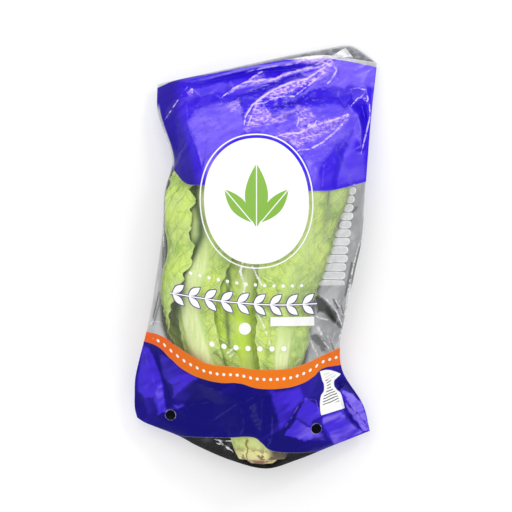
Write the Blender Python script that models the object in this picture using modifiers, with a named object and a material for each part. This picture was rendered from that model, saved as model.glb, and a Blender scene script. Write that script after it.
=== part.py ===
"""Romaine lettuce head lying on its side in a clear film bag with an open mouth.

Metres, +Z up. +Y runs from the cut stem to the leaf tips and the bag's mouth, and the bag's back lies on Z = 0.
The head is a short stem with its leaves nested round it, each leaf in a layer of its own.
"""

import math

import bmesh
import bpy
import numpy as np

MM = 0.001

# The head's centreline and its outer size, at stations along +Y: (y, value), in millimetres
CENTRE_X = [(-168, 5), (-150, 4), (-120, -1), (-90, -8), (-60, -11), (-30, -9), (10, -3), (50, 1), (118, 3), (168, 4)]
CENTRE_Z = [(-168, 30), (-150, 31), (-110, 36), (-70, 39), (50, 39), (90, 34), (120, 24), (145, 13), (168, 9)]
HEAD_HALF_WIDTH = [(-161, 16), (-150, 21), (-120, 34), (-90, 47), (-60, 56), (-30, 61), (10, 64), (50, 65), (80, 59),
                   (105, 46), (120, 32)]
HEAD_HALF_HEIGHT = [(-161, 16), (-150, 20), (-120, 28), (-90, 33), (-60, 35.5), (50, 35.5), (80, 32), (105, 24),
                    (120, 16)]

# Stem: the core that every leaf grows from, cut across at its low end
STEM_RADIUS = [(-161, 10.5), (-158, 12.5), (-149, 13.5), (-135, 11.5), (-115, 7.5), (-95, 4), (-88, 1.5)]
STEM_RINGS = 12
STEM_SIDES = 16

# Leaves, from the innermost to the outermost
LEAF_COUNT = 18
OUTER_LEAVES = 6
OUTER_SPACING = 2.0 * MM
INNER_SPACING = 1.5 * MM
GOLDEN_ANGLE = 137.5
CENTRE_LEAF_ANGLE = 8.0
TURNED_BY_HAND = {12: -150.0, 13: 78.0, 14: -46.0, 15: 155.0, 16: -104.0, 17: 36.0}
LOWEST_BASE = -157 * MM
LEAF_TO_STEM = 2.0 * MM
LONGEST_TIP = 117 * MM
SHORTEST_TIP = 62 * MM
UNEVEN_TIPS = 12 * MM
BLADE_THICKNESS = 0.7 * MM
OUTER_RIB_THICKNESS = 3.0 * MM
INNER_RIB_THICKNESS = 1.2 * MM
RIB_HALF_SHARE = 0.55
HALF_WIDTH_OUTER = [(0, 17), (0.12, 17), (0.35, 32), (0.6, 47), (0.78, 52), (0.9, 43), (0.97, 25), (1, 7)]
INNER_WIDTH_SHARE = 0.55
ROW_STEP = 11 * MM
MARGIN_WAVE = 0.05
WIDEST_HALF_ANGLE = math.radians(84)
FOLD_DEPTH = 1.3 * MM
FOLD_LENGTH = 58 * MM
OUTER_COLUMNS = (-1.0, -0.74, -0.46, -0.2, 0.0, 0.2, 0.46, 0.74, 1.0)
INNER_COLUMNS = (-1.0, -0.68, -0.34, 0.0, 0.34, 0.68, 1.0)

# Bag outline seen from above: left and right edges as (y, x), bottom fold and mouth as (x, y), in millimetres
LEFT_EDGE = [(-126, -96), (-112, -96.5), (-95, -95.5), (-52, -85), (15, -74.5), (52, -72), (76, -66.5), (114, -78),
             (137, -78.5)]
RIGHT_EDGE = [(-139, 90.5), (-118, 85), (-92, 69), (-71, 66.5), (-31, 73.5), (14, 86), (60, 88), (106, 91),
              (154, 96.5)]
BOTTOM_FOLD = [(-96, -126), (-49, -149), (-18, -164), (8, -168.6), (30, -164.5), (62, -150.5), (90.5, -139)]
MOUTH_EDGE = [(-78.5, 137), (-56, 142), (26, 160), (58, 166), (75, 168), (84, 163.5), (96.5, 154)]
EDGE_HEIGHT = [(-168, 15), (-125, 15), (-100, 19), (-60, 28), (0, 33), (50, 33), (80, 28), (110, 19), (140, 11),
               (168, 9)]
FILM_THICKNESS = 0.7 * MM
FILM_CLEARANCE = [(-168, 6.0), (-120, 6.0), (-60, 5.8), (60, 5.4), (120, 5.0)]
EDGE_HALF_THICKNESS = 1.3 * MM
MOUTH_HALF_SIZE = [(120, 37, 21), (135, 50, 10), (150, 60, 5), (168, 64, 3.2)]
BOTTOM_ROUNDING = 9 * MM
BAG_COLUMNS = 16
BAG_ROWS = 24
ROW_CROWDING = 1.22
VENT_RADIUS = 4 * MM
VENT_CUTTER_LENGTH = 200 * MM
VENT_PLACES = ((-67.5 * MM, -125.5 * MM), (47.5 * MM, -136.0 * MM))


def along(stations, at):
    """A smooth curve through the stations, read at one place: cubic Hermite with the slopes of its neighbours."""
    where = [s[0] * MM for s in stations]
    value = [s[1] * MM for s in stations]
    if at <= where[0]:
        return value[0]
    if at >= where[-1]:
        return value[-1]
    i = next(n for n in range(len(where) - 1) if at <= where[n + 1])
    lower, upper = max(i - 1, 0), min(i + 2, len(where) - 1)
    step = where[i + 1] - where[i]
    slope_in = (value[i + 1] - value[lower]) / (where[i + 1] - where[lower]) * step
    slope_out = (value[upper] - value[i]) / (where[upper] - where[i]) * step
    t = (at - where[i]) / step
    return (
        value[i] * (2 * t**3 - 3 * t**2 + 1)
        + slope_in * (t**3 - 2 * t**2 + t)
        + value[i + 1] * (3 * t**2 - 2 * t**3)
        + slope_out * (t**3 - t**2)
    )


def clear_scene():
    for item in list(bpy.data.objects):
        bpy.data.objects.remove(item)


def new_collection(name):
    made = bpy.data.collections.new(name)
    bpy.context.scene.collection.children.link(made)
    return made


def plain_material(name, color, roughness, alpha=1.0):
    made = bpy.data.materials.new(name)
    made.use_nodes = True
    shader = made.node_tree.nodes["Principled BSDF"]
    shader.inputs["Base Color"].default_value = (*color, 1.0)
    shader.inputs["Roughness"].default_value = roughness
    shader.inputs["Metallic"].default_value = 0.0
    shader.inputs["Alpha"].default_value = alpha
    return made


def new_object(name, shape, collection, material=None):
    """Puts a finished shape in the scene as one smooth-shaded object."""
    data = bpy.data.meshes.new(name)
    shape.to_mesh(data)
    shape.free()
    data.shade_smooth()
    if material is not None:
        data.materials.append(material)
    made = bpy.data.objects.new(name, data)
    collection.objects.link(made)
    return made


def strip_cap(shape, row):
    """Closes one end of a loft with a strip of faces between the two halves of its ring."""
    count = len(row)
    for i in range(count // 2 - 1):
        shape.faces.new((row[i], row[i + 1], row[count - 2 - i], row[count - 1 - i]))


def loft(rings, open_end=False):
    """A closed solid through rings of equal length, or a tube that is closed at its first ring only."""
    shape = bmesh.new()
    rows = [[shape.verts.new(p) for p in ring] for ring in rings]
    count = len(rings[0])
    for low, high in zip(rows, rows[1:]):
        for i in range(count):
            j = (i + 1) % count
            shape.faces.new((low[i], low[j], high[j], high[i]))
    strip_cap(shape, rows[0])
    if not open_end:
        strip_cap(shape, rows[-1])
    bmesh.ops.recalc_face_normals(shape, faces=shape.faces)
    bmesh.ops.triangulate(shape, faces=shape.faces)
    return shape


def point_round_head(y, layer, angle):
    """The point of a layer, given by its half height, at an angle counted from straight up towards +X."""
    stretch = along(HEAD_HALF_WIDTH, y) / along(HEAD_HALF_HEIGHT, y)
    return (
        along(CENTRE_X, y) + layer * stretch * math.sin(angle),
        y,
        along(CENTRE_Z, y) + layer * math.cos(angle),
    )


def build_stem(collection, material):
    low, high = STEM_RADIUS[0][0] * MM, STEM_RADIUS[-1][0] * MM
    rings = []
    for row in range(STEM_RINGS + 1):
        y = low + (high - low) * row / STEM_RINGS
        radius = along(STEM_RADIUS, y)
        rings.append([point_round_head(y, radius, math.tau * i / STEM_SIDES) for i in range(STEM_SIDES)])
    return new_object("stem", loft(rings), collection, material)


def layer_depth(number):
    """How far below the head's outer size the layer of this leaf lies."""
    from_outside = LEAF_COUNT - 1 - number
    outer = min(from_outside, OUTER_LEAVES - 1)
    return outer * OUTER_SPACING + (from_outside - outer) * INNER_SPACING


def leaf_angle(number):
    if number in TURNED_BY_HAND:
        return math.radians(TURNED_BY_HAND[number])
    first_by_hand = min(TURNED_BY_HAND)
    return math.radians(CENTRE_LEAF_ANGLE + (first_by_hand - 1 - number) * GOLDEN_ANGLE)


def leaf_base(number):
    """Where along the stem the leaf's layer comes clear of the stem's surface."""
    y = LOWEST_BASE
    while along(HEAD_HALF_HEIGHT, y) - layer_depth(number) < along(STEM_RADIUS, y) + LEAF_TO_STEM:
        y += MM
    return y


def leaf_tip(number):
    share = number / (LEAF_COUNT - 1)
    reach = SHORTEST_TIP + (LONGEST_TIP - SHORTEST_TIP) * math.sqrt(share)
    uneven = UNEVEN_TIPS * abs(math.sin(GOLDEN_ANGLE * number))
    return round((reach - uneven) / ROW_STEP) * ROW_STEP


def fold_depth(y, angle):
    """Long soft folds that run through all the layers alike, so that none touches its neighbour."""
    swell = math.sin(math.tau * y / FOLD_LENGTH + 2.2 * math.sin(angle))
    ease = min(1.0, max(0.0, (y - LOWEST_BASE) / (60 * MM)))
    return FOLD_DEPTH * swell * ease


def leaf_rows(base, tip):
    """Places of the leaf's rows: shared by all the leaves, so that their faces nest, apart from its two ends."""
    first = math.floor(base / ROW_STEP) + 1
    last = math.ceil(tip / ROW_STEP) - 1
    inner = [n * ROW_STEP for n in range(first, last + 1)]
    inner = [y for y in inner if y - base > 4 * MM and tip - y > 3 * MM]
    return [base, *inner, tip]


def build_leaf(number, collection, material):
    base, tip = leaf_base(number), leaf_tip(number)
    share = number / (LEAF_COUNT - 1)
    outer = number >= LEAF_COUNT - OUTER_LEAVES - 1
    columns = OUTER_COLUMNS if outer else INNER_COLUMNS
    width_share = INNER_WIDTH_SHARE + (1 - INNER_WIDTH_SHARE) * share
    rib = INNER_RIB_THICKNESS + (OUTER_RIB_THICKNESS - INNER_RIB_THICKNESS) * share**2
    shape = bmesh.new()
    grid, weights = [], []
    for row, y in enumerate(leaf_rows(base, tip)):
        u = (y - base) / (tip - base)
        layer = along(HEAD_HALF_HEIGHT, y) - layer_depth(number)
        stretch = along(HEAD_HALF_WIDTH, y) / along(HEAD_HALF_HEIGHT, y)
        mean_radius = layer * math.sqrt((1 + stretch * stretch) / 2)
        half_width = along(HALF_WIDTH_OUTER, u * MM) * width_share
        half_width *= 1 + MARGIN_WAVE * (-1) ** row * min(1.0, 4 * u)
        half_angle = min(half_width / mean_radius, WIDEST_HALF_ANGLE)
        line = []
        for v in columns:
            angle = leaf_angle(number) + v * half_angle
            point = point_round_head(y, layer + fold_depth(y, angle), angle)
            line.append(shape.verts.new(point))
            across = max(0.0, 1 - (v / RIB_HALF_SHARE) ** 2)
            weights.append(across * max(0.0, 1 - u / 0.9) ** 0.8)
        grid.append(line)
    for low, high in zip(grid, grid[1:]):
        for i in range(len(columns) - 1):
            shape.faces.new((low[i], low[i + 1], high[i + 1], high[i]))
    bmesh.ops.triangulate(shape, faces=shape.faces)
    made = new_object(f"leaf_{number + 1:02d}", shape, collection, material)
    rib_group = made.vertex_groups.new(name="rib")
    for index, weight in enumerate(weights):
        rib_group.add([index], weight, "REPLACE")
    thicken = made.modifiers.new("blade and rib", "SOLIDIFY")
    thicken.thickness = rib
    thicken.offset = 1.0
    thicken.use_rim = True
    thicken.vertex_group = rib_group.name
    thicken.thickness_vertex_group = BLADE_THICKNESS / rib
    return made


def edge_point(stations, at, swap):
    value = along(stations, at)
    return np.array((value, at) if swap else (at, value))


def bag_place(across, up):
    """A place of the flat bag seen from above: a patch stretched between its four edges."""
    left_low, left_high = LEFT_EDGE[0][0] * MM, LEFT_EDGE[-1][0] * MM
    right_low, right_high = RIGHT_EDGE[0][0] * MM, RIGHT_EDGE[-1][0] * MM
    bottom_left, bottom_right = BOTTOM_FOLD[0][0] * MM, BOTTOM_FOLD[-1][0] * MM
    mouth_left, mouth_right = MOUTH_EDGE[0][0] * MM, MOUTH_EDGE[-1][0] * MM
    left = edge_point(LEFT_EDGE, left_low + (left_high - left_low) * up, True)
    right = edge_point(RIGHT_EDGE, right_low + (right_high - right_low) * up, True)
    bottom = edge_point(BOTTOM_FOLD, bottom_left + (bottom_right - bottom_left) * across, False)
    mouth = edge_point(MOUTH_EDGE, mouth_left + (mouth_right - mouth_left) * across, False)
    corners = (
        (1 - across) * (1 - up) * edge_point(BOTTOM_FOLD, bottom_left, False)
        + across * (1 - up) * edge_point(BOTTOM_FOLD, bottom_right, False)
        + (1 - across) * up * edge_point(MOUTH_EDGE, mouth_left, False)
        + across * up * edge_point(MOUTH_EDGE, mouth_right, False)
    )
    return (1 - across) * left + across * right + (1 - up) * bottom + up * mouth - corners


def bag_section(y):
    """Half width and half height of the film round the head at y, going over to the flat mouth past the tips."""
    first = MOUTH_HALF_SIZE[0][0] * MM
    if y >= first:
        return (
            along([(s[0], s[1]) for s in MOUTH_HALF_SIZE], y),
            along([(s[0], s[2]) for s in MOUTH_HALF_SIZE], y),
        )
    room = along(FILM_CLEARANCE, y)
    return along(HEAD_HALF_WIDTH, y) + room, along(HEAD_HALF_HEIGHT, y) + room


def film_height(x, y, side):
    """Height of the film at a place seen from above, on its front (side 1) or back (side -1).

    Over the head the section is an ellipse, and from there the film runs straight to the bag's edge.
    """
    half_width, half_height = bag_section(y)
    centre_x, centre_z = along(CENTRE_X, y), along(CENTRE_Z, y)
    edge_x = along(RIGHT_EDGE if x >= centre_x else LEFT_EDGE, y)
    reach = max(abs(edge_x - centre_x), half_width + 0.5 * MM)
    drop = side * (along(EDGE_HEIGHT, y) - centre_z) + EDGE_HALF_THICKNESS
    far = (reach / half_width, drop / half_height)
    touch = math.atan2(far[1], far[0]) + math.acos(1 / math.hypot(*far))
    touch_x, touch_z = half_width * math.cos(touch), half_height * math.sin(touch)
    distance = min(abs(x - centre_x), reach)
    if distance <= touch_x:
        height = half_height * math.sqrt(1 - (distance / half_width) ** 2)
    else:
        height = touch_z + (drop - touch_z) * (distance - touch_x) / (reach - touch_x)
    from_fold = max(0.0, y - along(BOTTOM_FOLD, x))
    closing = math.sqrt(1 - (1 - min(1.0, from_fold / BOTTOM_ROUNDING)) ** 2)
    folded_z = centre_z + (along(EDGE_HEIGHT, y) - centre_z) * (distance / reach) ** 2 + side * EDGE_HALF_THICKNESS
    z = folded_z + (centre_z + side * height - folded_z) * closing
    return max(z, 0.0) if side < 0 else z


def bag_rings():
    rings = []
    for row in range(BAG_ROWS + 1):
        up = (row / BAG_ROWS) ** ROW_CROWDING
        front, back = [], []
        for column in range(BAG_COLUMNS + 1):
            across = 0.5 - 0.5 * math.cos(math.pi * column / BAG_COLUMNS)
            x, y = bag_place(across, up)
            front.append((x, y, film_height(x, y, 1)))
            back.append((x, y, film_height(x, y, -1)))
        rings.append(front + back[::-1])
    return rings


def build_bag(collection, cutters, material):
    made = new_object("bag", loft(bag_rings(), open_end=True), collection, material)
    thicken = made.modifiers.new("film", "SOLIDIFY")
    thicken.thickness = FILM_THICKNESS
    thicken.offset = -1.0
    thicken.use_rim = True
    for number, (x, y) in enumerate(VENT_PLACES):
        shape = bmesh.new()
        bmesh.ops.create_cone(
            shape, cap_ends=True, segments=12, radius1=VENT_RADIUS, radius2=VENT_RADIUS, depth=VENT_CUTTER_LENGTH
        )
        vent = new_object(f"vent_cutter_{number + 1}", shape, cutters)
        vent.location = (x, y, 0)
        vent.hide_render = True
        vent.display_type = "WIRE"
        cut = made.modifiers.new(f"vent {number + 1}", "BOOLEAN")
        cut.operation = "DIFFERENCE"
        cut.object = vent
    return made


def main():
    clear_scene()
    parts = new_collection("romaine lettuce head")
    cutters = new_collection("cutters")
    stem_material = plain_material("stem", (0.66, 0.72, 0.42), 0.5)
    leaf_material = plain_material("leaf", (0.42, 0.66, 0.16), 0.45)
    film_material = plain_material("film", (0.16, 0.1, 0.72), 0.2, 0.6)
    build_stem(parts, stem_material)
    for number in range(LEAF_COUNT):
        build_leaf(number, parts, leaf_material)
    build_bag(parts, cutters, film_material)


main()
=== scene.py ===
import math

import bpy
import numpy as np
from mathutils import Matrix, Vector
from mathutils.geometry import delaunay_2d_cdt


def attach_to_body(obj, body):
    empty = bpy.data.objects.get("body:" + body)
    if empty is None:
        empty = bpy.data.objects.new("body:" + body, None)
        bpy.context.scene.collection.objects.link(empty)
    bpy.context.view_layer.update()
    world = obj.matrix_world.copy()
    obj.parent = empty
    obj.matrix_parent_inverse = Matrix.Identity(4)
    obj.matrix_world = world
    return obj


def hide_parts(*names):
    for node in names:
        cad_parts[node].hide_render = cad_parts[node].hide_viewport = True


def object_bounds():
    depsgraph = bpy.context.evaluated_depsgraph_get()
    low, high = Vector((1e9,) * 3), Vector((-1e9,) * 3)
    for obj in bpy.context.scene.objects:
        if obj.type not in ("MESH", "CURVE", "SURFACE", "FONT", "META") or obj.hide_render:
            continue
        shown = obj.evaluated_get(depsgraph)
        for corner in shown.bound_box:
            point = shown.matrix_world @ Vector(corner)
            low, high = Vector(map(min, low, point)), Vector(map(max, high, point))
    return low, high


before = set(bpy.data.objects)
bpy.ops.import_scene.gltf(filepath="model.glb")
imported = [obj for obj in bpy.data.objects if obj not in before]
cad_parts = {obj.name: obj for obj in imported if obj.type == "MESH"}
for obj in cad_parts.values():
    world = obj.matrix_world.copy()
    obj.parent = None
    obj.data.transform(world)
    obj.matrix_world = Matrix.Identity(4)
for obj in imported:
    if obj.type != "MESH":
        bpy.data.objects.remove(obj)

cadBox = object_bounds()
mm = 0.001
print("frame loaded")

# The camera looks straight down on the printed front, from far off, with the photograph's up along +Y
photo = {
    "size": 512,
    "metresPerPixel": 0.0008,
    "cameraHeight": 2.5,
    "sensor": 36.0,
}

# Head: centreline and outer size at stations along +Y, as (y, value) in millimetres
head = {
    "centreX": [(-168, 5), (-150, 4), (-120, -1), (-90, -9), (-56, -15.5), (-28, -13), (0, -6.5), (30, -1.5),
                (60, 2.5), (118, 3), (168, 4)],
    "centreZ": [(-168, 30), (-150, 31), (-110, 36), (-70, 39), (50, 39), (90, 34), (120, 24), (145, 13),
                (168, 9)],
    "halfWidth": [(-164, 12), (-160, 16.5), (-150, 21), (-120, 34), (-90, 47), (-56, 58), (-28, 61.5),
                  (0, 65), (30, 68.5), (50, 70.5), (64, 66.5), (80, 61.5), (105, 48), (120, 34.5)],
    "halfHeight": [(-164, 12), (-160, 16.5), (-150, 20), (-120, 28), (-90, 33), (-60, 35.5), (50, 35.5),
                   (80, 32), (105, 24), (120, 16)],
}

# Bag: its outline seen from above and its heights, in millimetres
bag = {
    "leftEdge": [(-128.5, -94.5), (-121, -96.3), (-112, -96.5), (-95, -95.5), (-52, -85), (15, -74.5),
                 (52, -72), (76, -66.5), (114, -78), (137, -78.5)],
    "rightEdge": [(-139, 90.5), (-118, 85), (-92, 69), (-71, 66.5), (-50, 70.3), (-31, 74), (-10, 78.9),
                  (14, 83.5), (60, 87), (106, 91), (154, 96.5)],
    "bottomFold": [(-94.5, -128.5), (-89, -132), (-80.5, -135.3), (-61, -142.6), (-47, -150), (-20, -161.4),
                   (8, -168), (32, -161.4), (62, -149.8), (90.5, -139)],
    "backMouth": [(-78.5, 137), (-56, 142), (26, 160), (58, 166), (75, 168), (84, 163.5), (96.5, 154)],
    "frontMouth": [(-78.5, 137), (-56, 139.5), (-11, 149.6), (26, 156.5), (51, 160), (71, 158), (96.5, 154)],
    "edgeHeight": [(-168, 15), (-125, 15), (-100, 19), (-60, 28), (0, 33), (50, 33), (80, 28), (110, 19),
                   (140, 11), (168, 9)],
    "clearance": [(-168, 6.0), (-120, 6.0), (-60, 5.2), (60, 5.0), (120, 4.6)],
    "sideClearance": [(-168, 5.0), (-120, 4.0), (-60, 1.5), (120, 1.5)],
    "leftReach": [(-5, 0), (15, 1.2), (40, 2.2), (56, 4.4), (64, 6.4), (68, 5.4), (73, 0.8), (78, 0)],
    "sideRounding": 5,
    "mouthHalfSize": [(120, 37, 20.6), (135, 50, 10), (150, 60, 5), (168, 64, 3.2)],
    "edgeHalfThickness": 0.4,
    "bottomRounding": 9,
    "frontGrid": (240, 390),
    "backGrid": (110, 180),
    "ventRadius": 4,
    "ventRim": (0.7, 0.45),
    "frontVents": [(-67.5, -125.5), (47.5, -136.0)],
    "backVents": [(-80.0, -113.0), (60.0, -126.0)],
}


# Smooth curves and noise

def along(stations, at, column=1):
    where = np.array([s[0] for s in stations], float) * mm
    value = np.array([s[column] for s in stations], float) * mm
    at = np.clip(np.asarray(at, float), where[0], where[-1])
    i = np.clip(np.searchsorted(where, at, side="left") - 1, 0, len(where) - 2)
    lower = np.maximum(i - 1, 0)
    upper = np.minimum(i + 2, len(where) - 1)
    step = where[i + 1] - where[i]
    slopeIn = (value[i + 1] - value[lower]) / (where[i + 1] - where[lower]) * step
    slopeOut = (value[upper] - value[i]) / (where[upper] - where[i]) * step
    t = (at - where[i]) / step
    return (value[i] * (2 * t**3 - 3 * t**2 + 1) + slopeIn * (t**3 - 2 * t**2 + t)
            + value[i + 1] * (3 * t**2 - 2 * t**3) + slopeOut * (t**3 - t**2))


def ease(value, low, high):
    t = np.clip((value - low) / (high - low), 0, 1)
    return t * t * (3 - 2 * t)


def softNoise(x, y, seed):
    # rounded hills and hollows about one unit across, from -1 to 1
    rng = np.random.default_rng(seed)
    turn = rng.uniform(0, math.tau, (64, 64))
    xi, yi = np.floor(x).astype(int), np.floor(y).astype(int)
    fx, fy = x - xi, y - yi
    wx = fx**3 * (fx * (fx * 6 - 15) + 10)
    wy = fy**3 * (fy * (fy * 6 - 15) + 10)
    corner = {}
    for i in (0, 1):
        for j in (0, 1):
            angle = turn[(xi + i) % 64, (yi + j) % 64]
            corner[i, j] = np.cos(angle) * (fx - i) + np.sin(angle) * (fy - j)
    low = corner[0, 0] * (1 - wx) + corner[1, 0] * wx
    high = corner[0, 1] * (1 - wx) + corner[1, 1] * wx
    return 1.5 * (low * (1 - wy) + high * wy)


def facetNoise(x, y, seed, bend=0.35):
    # flat facets about one unit across that meet in sharp creases, from -1 to 1
    x, y = (x + bend * softNoise(x * 0.7, y * 0.7, seed + 101),
            y + bend * softNoise(x * 0.7 + 9.1, y * 0.7 + 4.3, seed + 202))
    rng = np.random.default_rng(seed)
    level = rng.uniform(-1, 1, (64, 64))
    lean = (x + y) * (math.sqrt(3) - 1) / 2
    i, j = np.floor(x + lean).astype(int), np.floor(y + lean).astype(int)
    back = (3 - math.sqrt(3)) / 6
    px, py = x - (i - (i + j) * back), y - (j - (i + j) * back)
    first = px > py
    i1, j1 = first.astype(int), (~first).astype(int)
    # weights of the three corners of the lattice triangle
    u, v = px + (px + py) * (math.sqrt(3) - 1) / 2, py + (px + py) * (math.sqrt(3) - 1) / 2
    big, small = np.maximum(u, v), np.minimum(u, v)
    return (level[i % 64, j % 64] * (1 - big) + level[(i + i1) % 64, (j + j1) % 64] * (big - small)
            + level[(i + 1) % 64, (j + 1) % 64] * small)


def turned(x, y, degrees):
    c, s = math.cos(math.radians(degrees)), math.sin(math.radians(degrees))
    return x * c + y * s, -x * s + y * c


# Meshes from grids of points

def gridMesh(name, points, material, keep=None, values=None, wrap=False):
    rows, columns = points.shape[:2]
    index = np.arange(rows * columns).reshape(rows, columns)
    a, b = index[:-1, :-1], index[:-1, 1:]
    c, d = index[1:, 1:], index[1:, :-1]
    faces = np.stack([a, b, c, d], axis=-1).reshape(-1, 4)
    if wrap:
        ring = np.stack([index[:-1, -1], index[:-1, 0], index[1:, 0], index[1:, -1]], axis=-1)
        faces = np.concatenate([faces, ring])
    if keep is not None:
        faces = faces[keep[faces].all(axis=1)]
    return meshPiece(name, points.reshape(-1, 3), faces, material, values)


def meshPiece(name, points, faces, material, values=None):
    used = np.unique(faces)
    place = np.zeros(len(points), int)
    place[used] = np.arange(len(used))
    mesh = bpy.data.meshes.new(name)
    mesh.from_pydata(points[used].tolist(), [], place[faces].tolist())
    for key, value in (values or {}).items():
        mesh.attributes.new(key, "FLOAT", "POINT").data.foreach_set("value",
                                                                    np.ravel(value)[used].astype(np.float32))
    mesh.shade_smooth()
    mesh.materials.append(material)
    mesh.update()
    piece = bpy.data.objects.new(name, mesh)
    bpy.context.scene.collection.objects.link(piece)
    return piece


# Node helpers

class Wire:
    # a value, colour or place in a material; arithmetic with it adds the nodes that work it out
    def __init__(self, tree, socket):
        self.tree = tree
        self.socket = socket

    def __add__(self, other):
        return calc("ADD", self, other)

    def __sub__(self, other):
        return calc("SUBTRACT", self, other)

    def __rsub__(self, other):
        return calc("SUBTRACT", other, self)

    def __mul__(self, other):
        return calc("MULTIPLY", self, other)

    def __truediv__(self, other):
        return calc("DIVIDE", self, other)

    def __pow__(self, other):
        return calc("POWER", self, other)

    def __abs__(self):
        return calc("ABSOLUTE", self)


def newMaterial(name):
    made = bpy.data.materials.new(name)
    made.use_nodes = True
    return made, made.node_tree, made.node_tree.nodes["Principled BSDF"]


def attach(value, socket):
    if isinstance(value, Wire):
        value.tree.links.new(value.socket, socket)
    else:
        socket.default_value = value


def addNode(tree, kind, output, inputs, **settings):
    node = tree.nodes.new("ShaderNode" + kind)
    for key, value in settings.items():
        setattr(node, key, value)
    for key, value in inputs.items():
        attach(value, node.inputs[key])
    return Wire(tree, node.outputs[output])


def calc(operation, *values):
    tree = next(value.tree for value in values if isinstance(value, Wire))
    return addNode(tree, "Math", 0, dict(enumerate(values)), operation=operation)


def most(one, other):
    return calc("MAXIMUM", one, other)


def least(one, other):
    return calc("MINIMUM", one, other)


def apart(across, up):
    # the distance that an offset across and up makes
    return calc("SQRT", across ** 2.0 + up ** 2.0)


def repeated(value, pitch):
    # the place inside one pitch, from half a pitch below its middle to half a pitch above
    return calc("FRACT", value / pitch) * pitch - pitch / 2


def rise(value, low, high, first=0.0, last=1.0):
    inputs = {"Value": value, "From Min": low, "From Max": high, "To Min": first, "To Max": last}
    return addNode(value.tree, "MapRange", "Result", inputs, interpolation_type="SMOOTHSTEP")


def blend(share, a, b):
    a, b = ((*value, 1.0) if isinstance(value, tuple) else value for value in (a, b))
    return addNode(share.tree, "Mix", 2, {0: share, 6: a, 7: b}, data_type="RGBA")


def attribute(tree, name):
    return addNode(tree, "Attribute", "Fac", {}, attribute_name=name)


def objectPlace(tree):
    # the place on the piece, and its x and y
    place = addNode(tree, "TexCoord", "Object", {})
    split = tree.nodes.new("ShaderNodeSeparateXYZ")
    attach(place, split.inputs[0])
    return place, Wire(tree, split.outputs["X"]), Wire(tree, split.outputs["Y"])


def noise(place, scale, detail=3.0, roughness=0.55, distortion=0.0, output="Fac"):
    inputs = {"Vector": place, "Scale": scale, "Detail": detail, "Roughness": roughness,
              "Distortion": distortion}
    return addNode(place.tree, "TexNoise", output, inputs)


def cells(place, scale):
    # distance to the border of rounded cells
    inputs = {"Vector": place, "Scale": scale}
    return addNode(place.tree, "TexVoronoi", "Distance", inputs, feature="DISTANCE_TO_EDGE")


def stretched(place, size, turn=0.0):
    inputs = {"Vector": place, "Scale": size, "Rotation": (0, 0, math.radians(turn))}
    return addNode(place.tree, "Mapping", 0, inputs)


def bump(height, distance, strength):
    return addNode(height.tree, "Bump", 0, {"Height": height, "Distance": distance, "Strength": strength})


def printEdge(across, points):
    # a printed line's y for each x, drawn through points in metres
    low, span = points[0][0], points[-1][0] - points[0][0]
    heights = [p[1] for p in points]
    base, reach = min(heights), max(heights) - min(heights)
    first, *between, last = [((x - low) / span, (y - base) / reach) for x, y in points]
    node = across.tree.nodes.new("ShaderNodeFloatCurve")
    curve = node.mapping.curves[0]
    curve.points[0].location = first
    for spot in between:
        curve.points.new(*spot)
    curve.points[-1].location = last
    node.mapping.update()
    node.inputs["Factor"].default_value = 1.0
    attach((across - low) / span, node.inputs["Value"])
    return Wire(across.tree, node.outputs[0]) * reach + base


# The film's shape

def bagPlace(across, up, mouth):
    bottomFold, left, right = bag["bottomFold"], bag["leftEdge"], bag["rightEdge"]

    def between(stations, share):
        low, high = stations[0][0] * mm, stations[-1][0] * mm
        at = low + (high - low) * share
        return at, along(stations, at)

    leftY, leftX = between(left, up)
    rightY, rightX = between(right, up)
    bottomX, bottomY = between(bottomFold, across)
    mouthX, mouthY = between(mouth, across)
    corner = [((s[0][0] * mm, s[0][1] * mm), (s[-1][0] * mm, s[-1][1] * mm)) for s in (bottomFold, mouth)]
    (bl, br), (ml, mr) = corner
    flat = []
    for n, (l, r, b, m) in enumerate(((leftX, rightX, bottomX, mouthX), (leftY, rightY, bottomY, mouthY))):
        corners = ((1 - across) * (1 - up) * bl[n] + across * (1 - up) * br[n]
                   + (1 - across) * up * ml[n] + across * up * mr[n])
        flat.append((1 - across) * l + across * r + (1 - up) * b + up * m - corners)
    return flat[0], flat[1]


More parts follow.
